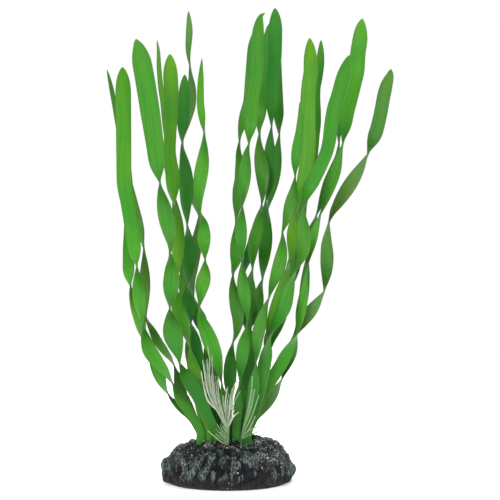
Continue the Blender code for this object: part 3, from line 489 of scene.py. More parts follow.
LEAVES = [
    Leaf("leaf_far_left", OLIVE_GREEN, route=[
        (-72.6, 246.9), (-71.1, 240.6), (-69.6, 233.4), (-68.1, 225.6), (-65.4, 210.6), (-62.7, 195.6),
        (-60.0, 180.6), (-57.0, 168.6), (-54.0, 156.6), (-51.6, 146.4), (-49.9, 131.4), (-49.8, 114.6),
        (-49.6, 105.6), (-49.0, 97.8), (-45.6, 90.6), (-42.3, 84.0), (-37.9, 78.0), (-34.0, 72.6),
        (-29.8, 61.8), (-27.6, 51.0), (-23.8, 43.8), (-20.4, 36.6), (-15.8, 28.0)],
        depth=[(247, 26), (130, 12), (28, 2)],
        width=[(247, 4.2), (156, 5.4), (124, 6.5), (84, 5.4), (60, 7.2), (45, 6.6)],
        edge_on=[138.6, 97.8, 68.4], tip_turn=-60, turn_from=165),
    Leaf("leaf_left_broad", BRIGHT_GREEN, route=[
        (-63.3, 248.4), (-63.0, 237.6), (-62.8, 222.6), (-62.6, 198.6), (-62.4, 180.6), (-60.0, 165.6),
        (-58.2, 153.6), (-56.4, 141.6), (-54.7, 127.8), (-53.7, 117.6), (-52.8, 105.6), (-51.3, 93.0),
        (-48.0, 80.4), (-43.2, 72.6), (-37.8, 66.0), (-33.9, 59.4), (-30.0, 51.0), (-23.8, 42.6),
        (-16.2, 28.0)],
        depth=[(248, -30), (130, -17), (60, -12), (28, -10)],
        width=[(248, 9.8), (178, 9.0), (150, 8.2), (108, 8.4), (72, 8.6), (56, 7.6), (44, 6.4)],
        edge_on=[127.8, 93.0, 57.0], tip_turn=-22),
    Leaf("leaf_left_low", BRIGHT_GREEN, route=[
        (-61.2, 211.8), (-61.2, 192.6), (-60.0, 174.6), (-59.1, 159.6), (-59.4, 147.6), (-59.8, 138.6),
        (-59.7, 129.6), (-58.4, 115.8), (-55.5, 105.6), (-53.5, 99.0), (-51.3, 87.6), (-48.6, 81.6),
        (-45.6, 75.6), (-42.6, 68.4), (-39.6, 59.4), (-35.1, 50.7), (-30.0, 45.6), (-23.0, 39.6),
        (-18.9, 33.6), (-16.4, 28.0)],
        depth=[(212, -10), (130, -4), (28, -4)],
        width=[(212, 6.8), (138, 7.0), (99, 7.4), (72, 8.2), (56, 7.6), (44, 6.4)],
        edge_on=[115.8, 81.6, 50.7], tip_turn=-40),
    Leaf("leaf_left_front", MIDDLE_GREEN, route=[
        (-55.3, 265.2), (-53.2, 258.6), (-50.5, 245.4), (-48.0, 230.4), (-45.9, 216.6), (-44.2, 204.6),
        (-42.0, 186.6), (-40.9, 178.2), (-39.2, 168.6), (-37.3, 159.6), (-35.5, 149.4), (-34.8, 141.6),
        (-34.7, 129.6), (-33.9, 120.6), (-34.6, 111.6), (-35.1, 102.6), (-34.2, 93.6), (-32.4, 84.6),
        (-30.4, 75.6), (-27.9, 67.2), (-20.6, 55.8), (-15.0, 45.6), (-8.8, 33.6), (-6.0, 28.0)],
        depth=[(265, -40), (130, -22), (60, -14), (28, -11)],
        width=[(265, 10.6), (248, 12.4), (225, 12.2), (190, 10.2), (154, 9.6), (120, 10.0), (85, 11.4),
               (62, 9.2), (46, 7.4)],
        edge_on=[178.2, 136.2, 103.2, 70.0], tip_turn=18),
    Leaf("leaf_left_thin", OLIVE_GREEN, route=[
        (-42.6, 264.6), (-41.7, 257.4), (-41.4, 249.6), (-40.2, 235.8), (-39.0, 228.6), (-37.5, 215.4),
        (-36.0, 204.6), (-34.8, 189.6), (-33.0, 174.6), (-30.6, 159.6), (-28.8, 144.6), (-27.6, 129.6),
        (-25.2, 108.6), (-23.6, 90.6), (-20.4, 66.6), (-15.0, 45.6), (-11.5, 28.0)],
        depth=[(265, 30), (130, 15), (50, 12), (28, 8)],
        width=[(265, 3.6), (200, 4.8), (130, 6.8), (80, 7.8), (56, 7.0)],
        edge_on=[174.6, 132.6, 90.6], tip_turn=50),
    Leaf("leaf_left_middle", LIGHT_GREEN, route=[
        (-34.8, 256.2), (-34.6, 243.6), (-34.2, 234.6), (-34.3, 225.6), (-34.8, 207.6), (-35.1, 198.6),
        (-34.5, 190.8), (-33.3, 183.6), (-32.2, 166.8), (-31.3, 163.8), (-29.6, 156.6), (-29.4, 147.6),
        (-30.0, 138.6), (-30.8, 130.2), (-31.4, 121.8), (-31.6, 114.6), (-30.6, 105.6), (-27.8, 96.6),
        (-24.6, 87.6), (-21.6, 72.6), (-18.0, 54.6), (-15.0, 39.6), (-11.5, 28.0)],
        depth=[(256, -12), (130, -8), (80, -7.5), (28, -8.5)],
        width=[(256, 10.0), (234, 9.6), (199, 7.6), (186, 8.7), (150, 7.4), (115, 8.0), (85, 8.6),
               (60, 7.8), (46, 6.4)],
        edge_on=[164.4, 118.0, 80.0], tip_turn=-30),
    Leaf("leaf_left_dark", DEEP_GREEN, route=[
        (-26.0, 243.9), (-26.1, 235.8), (-26.4, 225.6), (-27.0, 213.6), (-27.4, 202.2), (-26.1, 192.6),
        (-25.2, 183.6), (-24.9, 174.6), (-25.2, 165.6), (-24.3, 153.0), (-23.7, 144.6), (-23.1, 135.6),
        (-23.4, 126.6), (-24.0, 117.6), (-24.0, 108.6), (-23.1, 99.6), (-21.6, 90.6), (-19.0, 75.6),
        (-13.9, 57.6), (-10.2, 42.0), (-8.0, 28.0)],
        depth=[(244, 10), (130, 4), (80, 3.5), (28, 2)],
        width=[(244, 7.8), (225, 7.6), (186, 8.7), (135, 8.8), (108, 8.8), (75, 8.6), (52, 7.4)],
        edge_on=[202.2, 153.0, 117.6, 94.0], tip_turn=25),
    Leaf("leaf_left_tall", DULL_GREEN, route=[
        (-23.7, 282.0), (-23.2, 270.6), (-23.7, 258.6), (-22.9, 249.0), (-21.6, 235.8), (-22.2, 227.4),
        (-24.6, 216.6), (-27.3, 202.2), (-25.8, 189.6), (-22.8, 175.8), (-19.2, 165.6), (-17.4, 158.4),
        (-18.0, 147.6), (-19.8, 138.6), (-21.6, 130.2), (-22.5, 121.8), (-20.7, 111.6), (-18.6, 101.4),
        (-15.0, 92.4), (-12.6, 81.6), (-10.2, 66.6), (-7.2, 48.6), (-4.5, 28.0)],
        depth=[(282, 44), (200, 34), (130, 24), (110, 21), (28, 8)],
        width=[(282, 4.2), (264, 4.2), (236, 6.2), (180, 6.4), (138, 8.2), (110, 8.2), (70, 7.6),
               (50, 6.8)],
        edge_on=[249.0, 202.2, 158.4, 110.0, 84.0], tip_turn=20),
    Leaf("leaf_left_inner", BRIGHT_GREEN, route=[
        (-15.6, 253.8), (-16.0, 246.6), (-16.5, 228.6), (-15.3, 216.6), (-14.4, 208.8), (-14.2, 202.8),
        (-14.7, 194.4), (-15.6, 187.8), (-17.1, 178.2), (-17.7, 170.4), (-16.5, 160.8), (-14.6, 153.6),
        (-14.4, 144.6), (-13.9, 136.8), (-13.8, 126.6), (-14.7, 120.6), (-16.2, 114.6), (-17.2, 104.4),
        (-16.2, 97.2), (-13.6, 90.6), (-10.2, 82.8), (-6.6, 72.6), (-4.2, 60.6), (-2.4, 45.6),
        (-1.5, 28.0)],
        depth=[(254, -28), (130, -16), (28, -10)],
        width=[(254, 5.2), (228, 5.0), (190, 8.4), (146, 8.0), (120, 8.6), (90, 9.4), (64, 8.4),
               (46, 6.4)],
        edge_on=[208.8, 160.8, 132.6, 104.4, 58.0], tip_turn=65, turn_from=224),
    Leaf("leaf_centre_back", MIDDLE_GREEN, route=[
        (16.2, 270.6), (15.0, 261.6), (14.4, 252.6), (13.5, 240.6), (12.6, 228.6), (10.2, 219.6),
        (8.7, 213.6), (6.8, 203.7), (6.6, 198.0), (7.5, 189.6), (7.8, 181.8), (6.5, 174.6),
        (5.4, 165.6), (4.9, 155.7), (5.4, 138.6), (4.8, 131.4), (2.9, 123.0), (3.4, 115.8),
        (5.1, 105.6), (6.0, 97.8), (5.2, 90.6), (3.2, 83.4), (1.7, 77.4), (1.2, 69.6), (1.2, 57.6),
        (1.8, 28.0)],
        depth=[(271, 12), (130, 3), (110, 0.5), (28, -4)],
        width=[(271, 7.0), (228, 6.8), (190, 7.5), (139, 8.4), (102, 8.2), (75, 8.6), (52, 7.0)],
        edge_on=[203.7, 155.7, 123.0, 83.4, 43.0], tip_turn=28),
    Leaf("leaf_centre_front", MIDDLE_GREEN, route=[
        (22.2, 280.8), (19.8, 279.0), (18.8, 275.4), (18.0, 269.4), (17.6, 261.6), (17.7, 252.6),
        (16.8, 240.6), (14.7, 228.6), (13.4, 211.8), (12.4, 202.2), (11.2, 195.6), (9.8, 180.6),
        (8.6, 165.0), (7.7, 150.6), (8.3, 131.4), (8.9, 120.6), (10.2, 108.6), (11.7, 93.0),
        (9.4, 81.6), (7.4, 63.6), (6.0, 42.6), (5.0, 28.0)],
        depth=[(281, -24), (130, -17), (28, -10)],
        width=[(281, 7.6), (262, 8.2), (228, 7.7), (180, 7.6), (140, 7.4), (100, 8.0), (64, 7.6),
               (46, 6.0)],
        edge_on=[202.2, 165.0, 131.4, 97.0, 59.0], tip_turn=-28),
    Leaf("leaf_centre_olive", MIDDLE_GREEN, route=[
        (24.6, 274.2), (24.3, 264.6), (22.8, 252.6), (21.6, 240.6), (20.4, 228.6), (19.5, 217.8),
        (18.9, 208.2), (19.2, 198.6), (20.7, 180.6), (20.4, 166.2), (18.9, 159.6), (17.4, 150.6),
        (15.3, 141.0), (14.6, 127.2), (13.5, 119.4), (13.2, 108.6), (12.6, 93.6), (12.9, 81.6),
        (11.4, 63.6), (9.6, 42.6), (7.5, 28.0)],
        depth=[(274, 10), (240, 6), (214, 0), (180, -5), (130, -5), (28, -4)],
        width=[(274, 7.5), (252, 7.4), (222, 6.6), (190, 8.4), (149, 7.6), (110, 7.8), (64, 7.4),
               (46, 6.0)],
        edge_on=[208.2, 166.2, 127.2, 93.6], tip_turn=-18),
    Leaf("leaf_centre_tallest", DEEP_GREEN, route=[
        (28.2, PLANT_HEIGHT), (28.5, 276.6), (28.3, 264.6), (27.9, 252.6), (26.7, 240.6), (26.4, 228.6),
        (26.0, 213.0), (25.2, 195.6), (25.5, 186.6), (24.6, 177.6), (23.1, 169.8), (21.6, 161.4),
        (18.6, 150.6), (15.0, 141.0), (11.7, 132.6), (9.6, 123.6), (9.0, 114.6), (10.2, 102.6),
        (12.0, 90.6), (11.4, 72.6), (9.0, 51.6), (6.0, 28.0)],
        depth=[(284, -10), (240, -4), (214, 0), (180, 5), (130, 8), (90, 5.5), (28, 2)],
        width=[(284, 9.0), (262, 8.8), (228, 7.6), (150, 8.0), (100, 8.2), (64, 7.6), (46, 6.0)],
        edge_on=[213.0, 168.6, 123.6, 84.6], tip_turn=22),
    Leaf("leaf_centre_hidden", MIDDLE_GREEN, route=[
        (29.4, 261.6), (29.4, 249.6), (30.1, 228.6), (30.7, 207.9), (30.0, 198.6), (28.8, 189.6),
        (27.3, 180.6), (25.5, 171.6), (24.0, 163.2), (23.6, 155.4), (23.1, 147.6), (22.2, 138.6),
        (20.6, 121.2), (19.1, 114.6), (17.4, 106.2), (15.0, 97.8), (12.9, 90.6), (12.6, 78.6),
        (12.3, 60.6), (9.5, 43.8), (6.5, 28.0)],
        depth=[(262, 24), (130, 17), (90, 13.5), (28, 8.5)],
        width=[(262, 6.4), (228, 6.2), (193, 7.0), (145, 7.8), (108, 7.8), (64, 7.2), (46, 6.0)],
        edge_on=[207.9, 163.2, 121.2, 90.6], tip_turn=-35),
    Leaf("leaf_right_short", MIDDLE_GREEN, route=[
        (43.2, 227.7), (43.5, 221.4), (42.9, 210.6), (41.1, 198.6), (40.5, 189.6), (40.2, 183.0),
        (39.5, 174.6), (37.4, 165.6), (34.8, 156.6), (32.8, 149.4), (32.4, 139.8), (31.2, 131.4),
        (29.0, 123.6), (27.0, 118.2), (25.0, 111.6), (21.9, 102.6), (19.4, 93.6), (17.6, 85.8),
        (16.8, 72.6), (15.0, 51.6), (11.5, 28.0)],
        depth=[(228, -26), (130, -17), (74, -15), (28, -11.5)],
        width=[(228, 3.6), (221, 3.6), (198, 6.0), (165, 7.4), (131, 8.0), (100, 7.8), (64, 7.0),
               (46, 6.0)],
        edge_on=[183.0, 149.4, 110.0, 71.0]),
    Leaf("leaf_right_light", LIGHT_GREEN, route=[
        (49.0, 265.8), (49.5, 255.6), (49.7, 246.6), (48.6, 237.6), (48.0, 228.6), (48.0, 216.6),
        (48.3, 204.6), (47.4, 192.6), (45.6, 180.6), (42.6, 168.6), (39.0, 144.6), (35.6, 126.6),
        (30.8, 108.6), (27.2, 96.6), (24.0, 84.6), (22.2, 72.6), (18.0, 51.6), (12.0, 28.0)],
        depth=[(266, 8), (130, 5), (60, 8), (28, 10.5)],
        width=[(266, 8.6), (234, 9.4), (200, 9.2), (175, 8.6), (150, 8.6), (90, 8.4), (60, 7.2),
               (46, 6.0)],
        edge_on=[165.0, 132.0, 82.0, 58.0], tip_turn=30),
    Leaf("leaf_right_blunt", MIDDLE_GREEN, route=[
        (55.8, 264.6), (55.7, 258.6), (55.2, 249.6), (54.0, 241.8), (52.5, 234.6), (51.9, 225.6),
        (51.9, 216.6), (51.0, 207.6), (49.2, 189.6), (46.8, 177.6), (43.2, 165.6), (42.6, 153.6),
        (40.8, 135.6), (38.4, 125.4), (36.0, 114.6), (33.3, 102.6), (28.8, 93.0), (24.9, 84.6),
        (22.8, 72.6), (16.8, 53.4), (7.0, 28.0)],
        depth=[(265, 36), (130, 24), (60, 20), (28, 14)],
        width=[(265, 4.6), (240, 5.4), (220, 7.8), (190, 8.2), (130, 8.4), (80, 7.8), (50, 6.4)],
        edge_on=[147.0, 112.0, 72.0]),
    Leaf("leaf_right_thin", DEEP_GREEN, route=[
        (70.2, 231.6), (68.4, 219.6), (66.9, 210.6), (66.5, 203.4), (66.0, 195.6), (63.6, 187.8),
        (60.0, 178.8), (56.4, 168.6), (53.4, 160.2), (51.0, 151.8), (49.2, 143.4), (47.7, 133.8),
        (46.8, 123.6), (44.4, 104.0), (38.6, 84.6), (31.8, 70.2), (24.0, 57.0), (16.8, 42.6),
        (11.5, 28.0)],
        depth=[(232, 20), (130, 18), (60, 14.5), (28, 16)],
        width=[(232, 6.0), (110, 5.8), (60, 6.4)],
        edge_on=[203.4, 160.2, 137.0, 88.2], tip_turn=40),
    Leaf("leaf_right_front", MIDDLE_GREEN, route=[
        (72.9, 255.6), (70.8, 249.0), (68.4, 240.6), (66.0, 231.6), (63.3, 222.6), (61.8, 213.6),
        (60.9, 205.8), (59.4, 198.6), (55.8, 189.6), (51.3, 180.6), (47.4, 172.8), (45.6, 165.0),
        (45.0, 156.6), (45.6, 147.6), (45.0, 138.6), (42.0, 129.6), (38.1, 120.6), (35.4, 111.6),
        (33.6, 103.8), (29.4, 95.4), (25.2, 87.0), (23.4, 77.4), (20.4, 60.6), (16.8, 43.8),
        (12.0, 28.0)],
        depth=[(256, -30), (130, -14), (60, -8), (28, -6)],
        width=[(256, 8.2), (236, 9.2), (212, 9.0), (195, 8.2), (140, 8.8), (90, 8.4), (60, 7.2),
               (44, 6.0)],
        edge_on=[165.0, 126.6, 87.0], tip_turn=-26),
    Leaf("leaf_right_tall", BRIGHT_GREEN, route=[
        (80.6, 277.5), (79.8, 271.8), (79.2, 264.6), (77.9, 255.6), (77.4, 246.6), (75.6, 237.6),
        (73.5, 228.6), (71.4, 219.6), (70.5, 211.8), (69.0, 203.4), (67.2, 195.6), (64.8, 186.6),
        (61.5, 177.6), (58.8, 169.8), (55.8, 160.8), (52.5, 151.8), (50.4, 144.6), (48.3, 135.6),
        (47.3, 127.8), (45.9, 114.6), (44.7, 107.4), (43.2, 99.6), (41.1, 88.2), (37.8, 81.6),
        (34.8, 75.6), (31.8, 70.2), (28.2, 64.2), (24.6, 58.2), (20.4, 51.0), (15.6, 37.8),
        (12.0, 28.0)],
        depth=[(278, -12), (130, -4), (28, -0.5)],
        width=[(278, 9.4), (256, 9.4), (233, 8.6), (180, 7.0), (115, 5.6), (88, 8.0), (60, 7.2),
               (44, 6.0)],
        edge_on=[202.8, 160.8, 127.8, 88.2], tip_turn=18),
    Leaf("leaf_far_right", DULL_GREEN, route=[
        (97.8, 247.2), (97.2, 243.6), (95.1, 237.6), (93.3, 230.4), (91.9, 222.6), (89.8, 213.0),
        (87.2, 204.6), (84.0, 196.5), (80.4, 189.0), (75.9, 181.8), (71.1, 174.6), (66.0, 166.8),
        (62.4, 160.8), (60.9, 156.0), (59.7, 149.4), (59.1, 141.6), (59.4, 134.4), (59.3, 126.6),
        (57.8, 114.6), (54.3, 108.0), (49.8, 102.0), (45.6, 96.6), (42.9, 91.8), (41.4, 88.2),
        (39.4, 81.6), (37.1, 75.0), (34.8, 68.4), (32.4, 61.5), (28.8, 54.6), (25.2, 49.2),
        (21.0, 43.8), (16.2, 38.4), (10.0, 28.0)],
        depth=[(247, 12), (130, 9), (60, 5), (28, 5.5)],
        width=[(247, 8.6), (180, 8.3), (138, 8.0), (105, 7.6), (75, 7.0), (50, 7.0)],
        edge_on=[196.5, 156.0, 114.6, 88.2, 61.5], tip_turn=-20),
]


TROUGH_LEVEL = 0.4


def sweep_tree():
    """Sweeps a thin lens section along paths that carry their own directions and sizes."""
    tree, sizes = new_geometry_tree("ribbon_sweep", ["Section points", "Trough", "Vein rise", "Veins"])
    rail = tree.node("GeometryNodeMeshToCurve", {}, {"Mesh": sizes["Geometry"]})
    ring = tree.node("GeometryNodeCurvePrimitiveCircle", {"mode": "RADIUS"},
                     {"Resolution": sizes["Section points"], "Radius": 1.0})
    ring = tree.store(ring, "section", tree.node("GeometryNodeInputPosition"), kind="FLOAT_VECTOR")
    swept = tree.node("GeometryNodeCurveToMesh", {}, {
        "Curve": rail, "Profile Curve": ring, "Fill Caps": True})
    section = tree.stored("section", "FLOAT_VECTOR")
    across_share, crown_share = tree.part(section, "X"), tree.part(section, "Y")
    half_width = tree.stored("half_width")
    ripple = across_share * sizes["Veins"] * pi
    vein = ripple.math("COSINE", ripple) * 0.5 + 0.5
    squared = across_share * across_share
    trough = (squared - TROUGH_LEVEL) * sizes["Trough"] * half_width
    thick = tree.stored("half_thick") + vein * (1.0 - squared) * sizes["Vein rise"]
    sideways = tree.scaled(tree.stored("across", "FLOAT_VECTOR"), across_share * half_width)
    upwards = tree.scaled(tree.stored("crown", "FLOAT_VECTOR"), crown_share * thick + trough)
    place = tree.stored("spine", "FLOAT_VECTOR")
    for shift in (sideways, upwards):
        place = tree.node("ShaderNodeVectorMath", {"operation": "ADD"}, {0: place, 1: shift})
    shaped = tree.node("GeometryNodeSetPosition", {}, {"Geometry": swept, "Position": place})
    finish_tree(tree, shaped, sizes["Material"])
    return tree


PATH_FACTS = {"spine": "FLOAT_VECTOR", "across": "FLOAT_VECTOR", "crown": "FLOAT_VECTOR",
              "half_width": "FLOAT", "half_thick": "FLOAT", "down": "FLOAT", "tone": "FLOAT"}


def path_mesh(name, paths):
    """Open lines of points, where each point carries its directions and its section's size."""
    mesh = bpy.data.meshes.new(name)
    points = [point for path in paths for point in path]
    links, start = [], 0
    for path in paths:
        links += [(start + step, start + step + 1) for step in range(len(path) - 1)]
        start += len(path)
    mesh.from_pydata([point["spine"] for point in points], links, [])
    for fact, kind in PATH_FACTS.items():
        stored = mesh.attributes.new(fact, kind, "POINT").data
        field = "vector" if kind == "FLOAT_VECTOR" else "value"
        for index, point in enumerate(points):
            setattr(stored[index], field, point[fact])
    return mesh


def sweep(name, paths, sizes, material):
    """One closed plain mesh from its paths, with its faces outwards."""
    piece = grow(add_piece(name, path_mesh(name, paths)), ribbon_sweep, sizes, material)
    for spent in ("spine", "across", "crown", "half_width", "half_thick"):
        piece.data.attributes.remove(piece.data.attributes[spent])
    skin = bmesh.new()
    skin.from_mesh(piece.data)
    bmesh.ops.recalc_face_normals(skin, faces=skin.faces)
    skin.to_mesh(piece.data)
    skin.free()
    smooth_faces(piece)
    return piece


WARM_TIP = (35.0 * MM, 0.0)
# Painted shade: the heights between which a leaf darkens towards its foot, where the leaves crowd
FOOT_SHADE_HEIGHTS = (95.0 * MM, 36.0 * MM)
# The tints of a leaf: how much of its red, green and blue each keeps, and what is added to them. The
# deep tint is painted shade, at the foot and at each twist.
TINTS = {"warm": ((1.3, 1.02, 0.8), (0.006, 0.0, 0.0)), "cool": ((0.50, 0.80, 1.1), (0.0, 0.0, 0.0)),
         "deep": ((0.45, 0.62, 0.9), (0.0, 0.0, 0.0)), "rim": ((0.9, 0.62, 1.0), (0.05, 0.0, 0.02))}


def leaf_plastic(name, colour, olive):
    """Soft plastic: warmer at the tip, with painted shade at the foot and at each twist, streaked
    lengthwise.
    """
    material, tree = new_material(name)
    place = tree.node("ShaderNodeTexCoord", {}, {}, "Object")
    section = tree.attribute("section", "Vector")
    across, face = tree.part(section, "X"), tree.part(section, "Y")
    down, twist = tree.attribute("down"), tree.attribute("tone")
    grid = tree.node("ShaderNodeCombineXYZ", {}, {"X": across, "Y": down * 5.0, "Z": face * 0.3})
    streak = tree.noise(grid, scale=4.5, detail=3.0)
    cloud = tree.noise(place, scale=34.0, detail=1.0)
    drift = tree.noise(place, scale=16.0, detail=0.0)
    tints = {tint: (*(part * kept + added for part, kept, added in zip(colour, *shift)), 1.0)
             for tint, shift in TINTS.items()}
    underside_share, rim_share = (0.2, 0.8) if olive else (0.1, 0.55)
    painted_foot_shade = tree.part(place, "Z").between(*FOOT_SHADE_HEIGHTS)
    body = (*colour, 1.0)
    for tint, share in (
            ("warm", drift.between(0.50, 0.66) * 0.7),
            ("warm", down.between(*WARM_TIP) * 0.8),
            ("warm", streak.between(0.48, 0.34) * 0.45),
            ("cool", streak.between(0.48, 0.66) * 0.7),
            ("cool", cloud.between(0.52, 0.70) * 0.5),
            # painted shade where the blade turns edge-on at each twist
            ("deep", twist.between(0.70, 1.0) * 0.35),
            # painted shade towards the foot, where the leaves crowd round the base
            ("deep", painted_foot_shade * (0.45 + 0.55 * cloud)),
            ("rim", face.between(0.1, -0.1) * underside_share),
            ("rim", abs(across).between(0.80, 0.97) * rim_share)):
        body = tree.colour_mix(body, tints[tint], share)
    bump = tree.node("ShaderNodeBump", {}, {"Strength": 0.25, "Distance": 0.2 * MM, "Height": streak})
    tree.plastic(body, roughness=0.42 + 0.14 * cloud, shine=0.2, Normal=bump, Subsurface_Weight=0.12,
                 Subsurface_Radius=(0.3, 0.5, 0.1), Subsurface_Scale=2.0 * MM)
    return material


OLIVE_LEAVES = ("leaf_far_left", "leaf_left_tall", "leaf_centre_back", "leaf_centre_olive",
                "leaf_right_short", "leaf_far_right")
ribbon_sweep = sweep_tree()
for leaf in LEAVES:
    olive = leaf.name in OLIVE_LEAVES
    blade = sweep(leaf.name + "_blade", [leaf.path()],
                  {"Section points": 40, "Trough": 0.10, "Vein rise": 0.07 * MM, "Veins": 7.0},
                  leaf_plastic(leaf.name + "_plastic", leaf.colour, olive))
    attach(blade, "root")
    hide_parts(leaf.name)


# The sprigs are moulded in pale plastic, each a short stem with thin flat pointed rootlets, and
# glued in the base like the leaves. The front one's rootlets lie so close that they form a fan.

STEM_TIP_SHARE = 0.8
STEM_FLATNESS = 0.9
ROOTLET_HALF_WIDTH = 0.42
ROOTLET_HALF_THICK = 0.22
ROOTLET_TIP_SHARE = 0.55
ROOTLET_TURN = 50.0
STRIP_TAPER = 1.6
SPRIG_FEET = {"sprig_front": (-0.5, -15.5), "sprig_right": (8.0, -16.0), "sprig_back": (-15.5, 13.5)}
SPRIG_TOPS = {"sprig_front": (-0.3, -16.5, 36.0), "sprig_right": (8.5, -16.8, 29.0),
              "sprig_back": (-16.5, 14.0, 36.0)}
STEM_RADII = {"sprig_front": 1.5, "sprig_right": 0.9, "sprig_back": 0.9}
SPRIG_ROOTLETS = {
    "sprig_front": [
        [(-0.3, -16.4, 34.8), (-6.0, -19.5, 42.0), (-9.6, -20.5, 45.0), (-12.6, -21.0, 49.0),
         (-14.6, -21.5, 57.0), (-15.9, -21.5, 65.4)],
        [(-0.3, -16.3, 33.6), (-5.0, -20.5, 41.5), (-9.6, -21.5, 52.0), (-11.2, -22.0, 61.0),
         (-10.9, -22.0, 71.0), (-12.2, -22.0, 81.0)],
        [(-0.3, -16.2, 32.0), (-3.6, -21.5, 42.6), (-5.6, -22.5, 52.0), (-6.0, -22.5, 63.0)],
        [(-0.3, -16.1, 30.8), (-6.5, -22.0, 42.0), (-10.8, -23.0, 50.0), (-13.4, -23.5, 60.0),
         (-15.2, -23.5, 72.6)],
        [(-0.3, -16.5, 35.4), (-1.8, -20.0, 45.0), (-0.6, -20.5, 55.8)],
        [(-0.3, -16.0, 32.8), (0.8, -22.0, 42.0), (1.4, -23.0, 51.6)],
        [(-0.3, -16.5, 34.2), (2.2, -20.0, 46.0), (3.4, -20.5, 55.8), (6.6, -20.5, 62.4)],
        [(-0.3, -16.0, 31.4), (3.4, -20.5, 38.6), (6.6, -21.0, 41.4)],
        [(-0.4, -15.9, 23.8), (-2.6, -19.5, 22.6), (-7.0, -21.5, 25.8), (-12.2, -22.0, 30.2)],
    ],
    "sprig_right": [
        [(8.5, -16.8, 28.4), (9.8, -18.0, 34.5), (11.7, -18.5, 41.4), (12.9, -19.0, 48.0),
         (14.1, -19.0, 55.0), (14.6, -19.0, 63.0)],
        [(8.4, -16.7, 27.6), (10.4, -19.5, 34.0), (13.8, -21.0, 43.5), (16.2, -21.0, 55.2)],
        [(8.4, -16.6, 26.8), (11.2, -20.5, 32.0), (15.0, -22.5, 41.0), (18.6, -22.5, 51.6)],
        [(8.3, -16.5, 26.0), (12.6, -20.5, 31.0), (16.4, -21.5, 39.0)],
        [(8.2, -16.4, 25.2), (13.2, -20.0, 27.5), (18.6, -21.5, 29.8)],
        [(8.3, -16.7, 27.2), (14.0, -19.0, 31.0), (20.4, -19.0, 33.8)],
    ],
    "sprig_back": [
        [(-16.4, 14.0, 34.8), (-19.0, 16.0, 48.0), (-21.4, 17.0, 69.0)],
        [(-16.2, 13.9, 33.0), (-20.5, 17.0, 43.0), (-24.0, 18.0, 51.6)],
        [(-16.0, 13.8, 31.4), (-19.0, 18.0, 38.0), (-22.0, 20.0, 46.0)],
    ],
}
# How pale each sprig is, from 0 for deep green to 1 for white
STEM_TONES = {"sprig_front": 0.36, "sprig_right": 0.0, "sprig_back": 0.0}
ROOTLET_TONES = {"sprig_front": (0.50, 1.0), "sprig_right": (0.20, 0.58), "sprig_back": (0.30, 0.75)}
FOOT_TONE_SHARE = 0.62

# The finer strands that lie between a sprig's rootlets
STRAND_COUNTS = {"sprig_front": 84, "sprig_right": 8, "sprig_back": 16}
STRAND_HALF_WIDTHS = (0.13, 0.26)
STRAND_HALF_THICK = 0.8 * ROOTLET_HALF_THICK
STRAND_TIP_SHARE = 0.45
STRAND_TURN = 70.0
STRAND_MIX = (0.05, 0.95)
STRAND_REACH = (0.55, 1.05)
STRAND_DRIFT = 1.2
STRAND_POINTS = 14
STRAND_STEP = 1.2


def rounded_route(points):
    """A smooth line through its points, with about even steps (Catmull-Rom)."""
    ends = [points[0] * 2 - points[1]] + points + [points[-1] * 2 - points[-2]]
    line = []
    for before, start, end, after in zip(ends, ends[1:], ends[2:], ends[3:]):
        steps = max(int((end - start).length / STRAND_STEP), 2)
        for t in (step / steps for step in range(steps)):
            slope, bend = end - before, 2 * before - 5 * start + 4 * end - after
            twist = 3 * start - before - 3 * end + after
            line.append(0.5 * (2 * start + slope * t + bend * t ** 2 + twist * t ** 3))
    return line + [points[-1]]


def strand(line, half_width, half_thick, tip_share, tone, turn):
    """A path for the sweep: the strip narrows from its foot to its tip and turns a little."""
    path, run, last = [], 0.0, len(line) - 1
    for index, point in enumerate(line):
        after = line[min(index + 1, last)]
        tangent = (after - line[max(index - 1, 0)]).normalized()
        side = tangent.cross(Vector((0.0, 1.0, 0.0))).normalized()
        share = index / last
        angle = radians(turn * share)
        across = cos(angle) * side + sin(angle) * tangent.cross(side)
        size = 1.0 + (tip_share - 1.0) * share ** STRIP_TAPER
        paleness = FOOT_TONE_SHARE + (1.0 - FOOT_TONE_SHARE) * share
        path.append({"spine": point * MM, "across": across, "crown": tangent.cross(across),
                     "half_width": half_width * size * MM, "half_thick": half_thick * size * MM,
                     "down": run * MM, "tone": tone * paleness})
        run += (after - point).length
    return path


def between_rootlets(draw, routes):
    """A line that runs somewhere between two neighbouring rootlets and drifts off a little."""
    first = draw.randrange(len(routes) - 1)
    pair = [rounded_route(route) for route in routes[first:first + 2]]
    mix, reach = draw.uniform(*STRAND_MIX), draw.uniform(*STRAND_REACH)
    drift = Vector([draw.uniform(-STRAND_DRIFT, STRAND_DRIFT) for axis in range(3)])
    line = []
    for step in range(STRAND_POINTS + 1):
        share = min(reach * step / STRAND_POINTS, 1.0)
        near, far = (side[round(share * (len(side) - 1))] for side in pair)
        line.append(near.lerp(far, mix) + drift * share)
    return rounded_route(line[::3] + line[-1:])


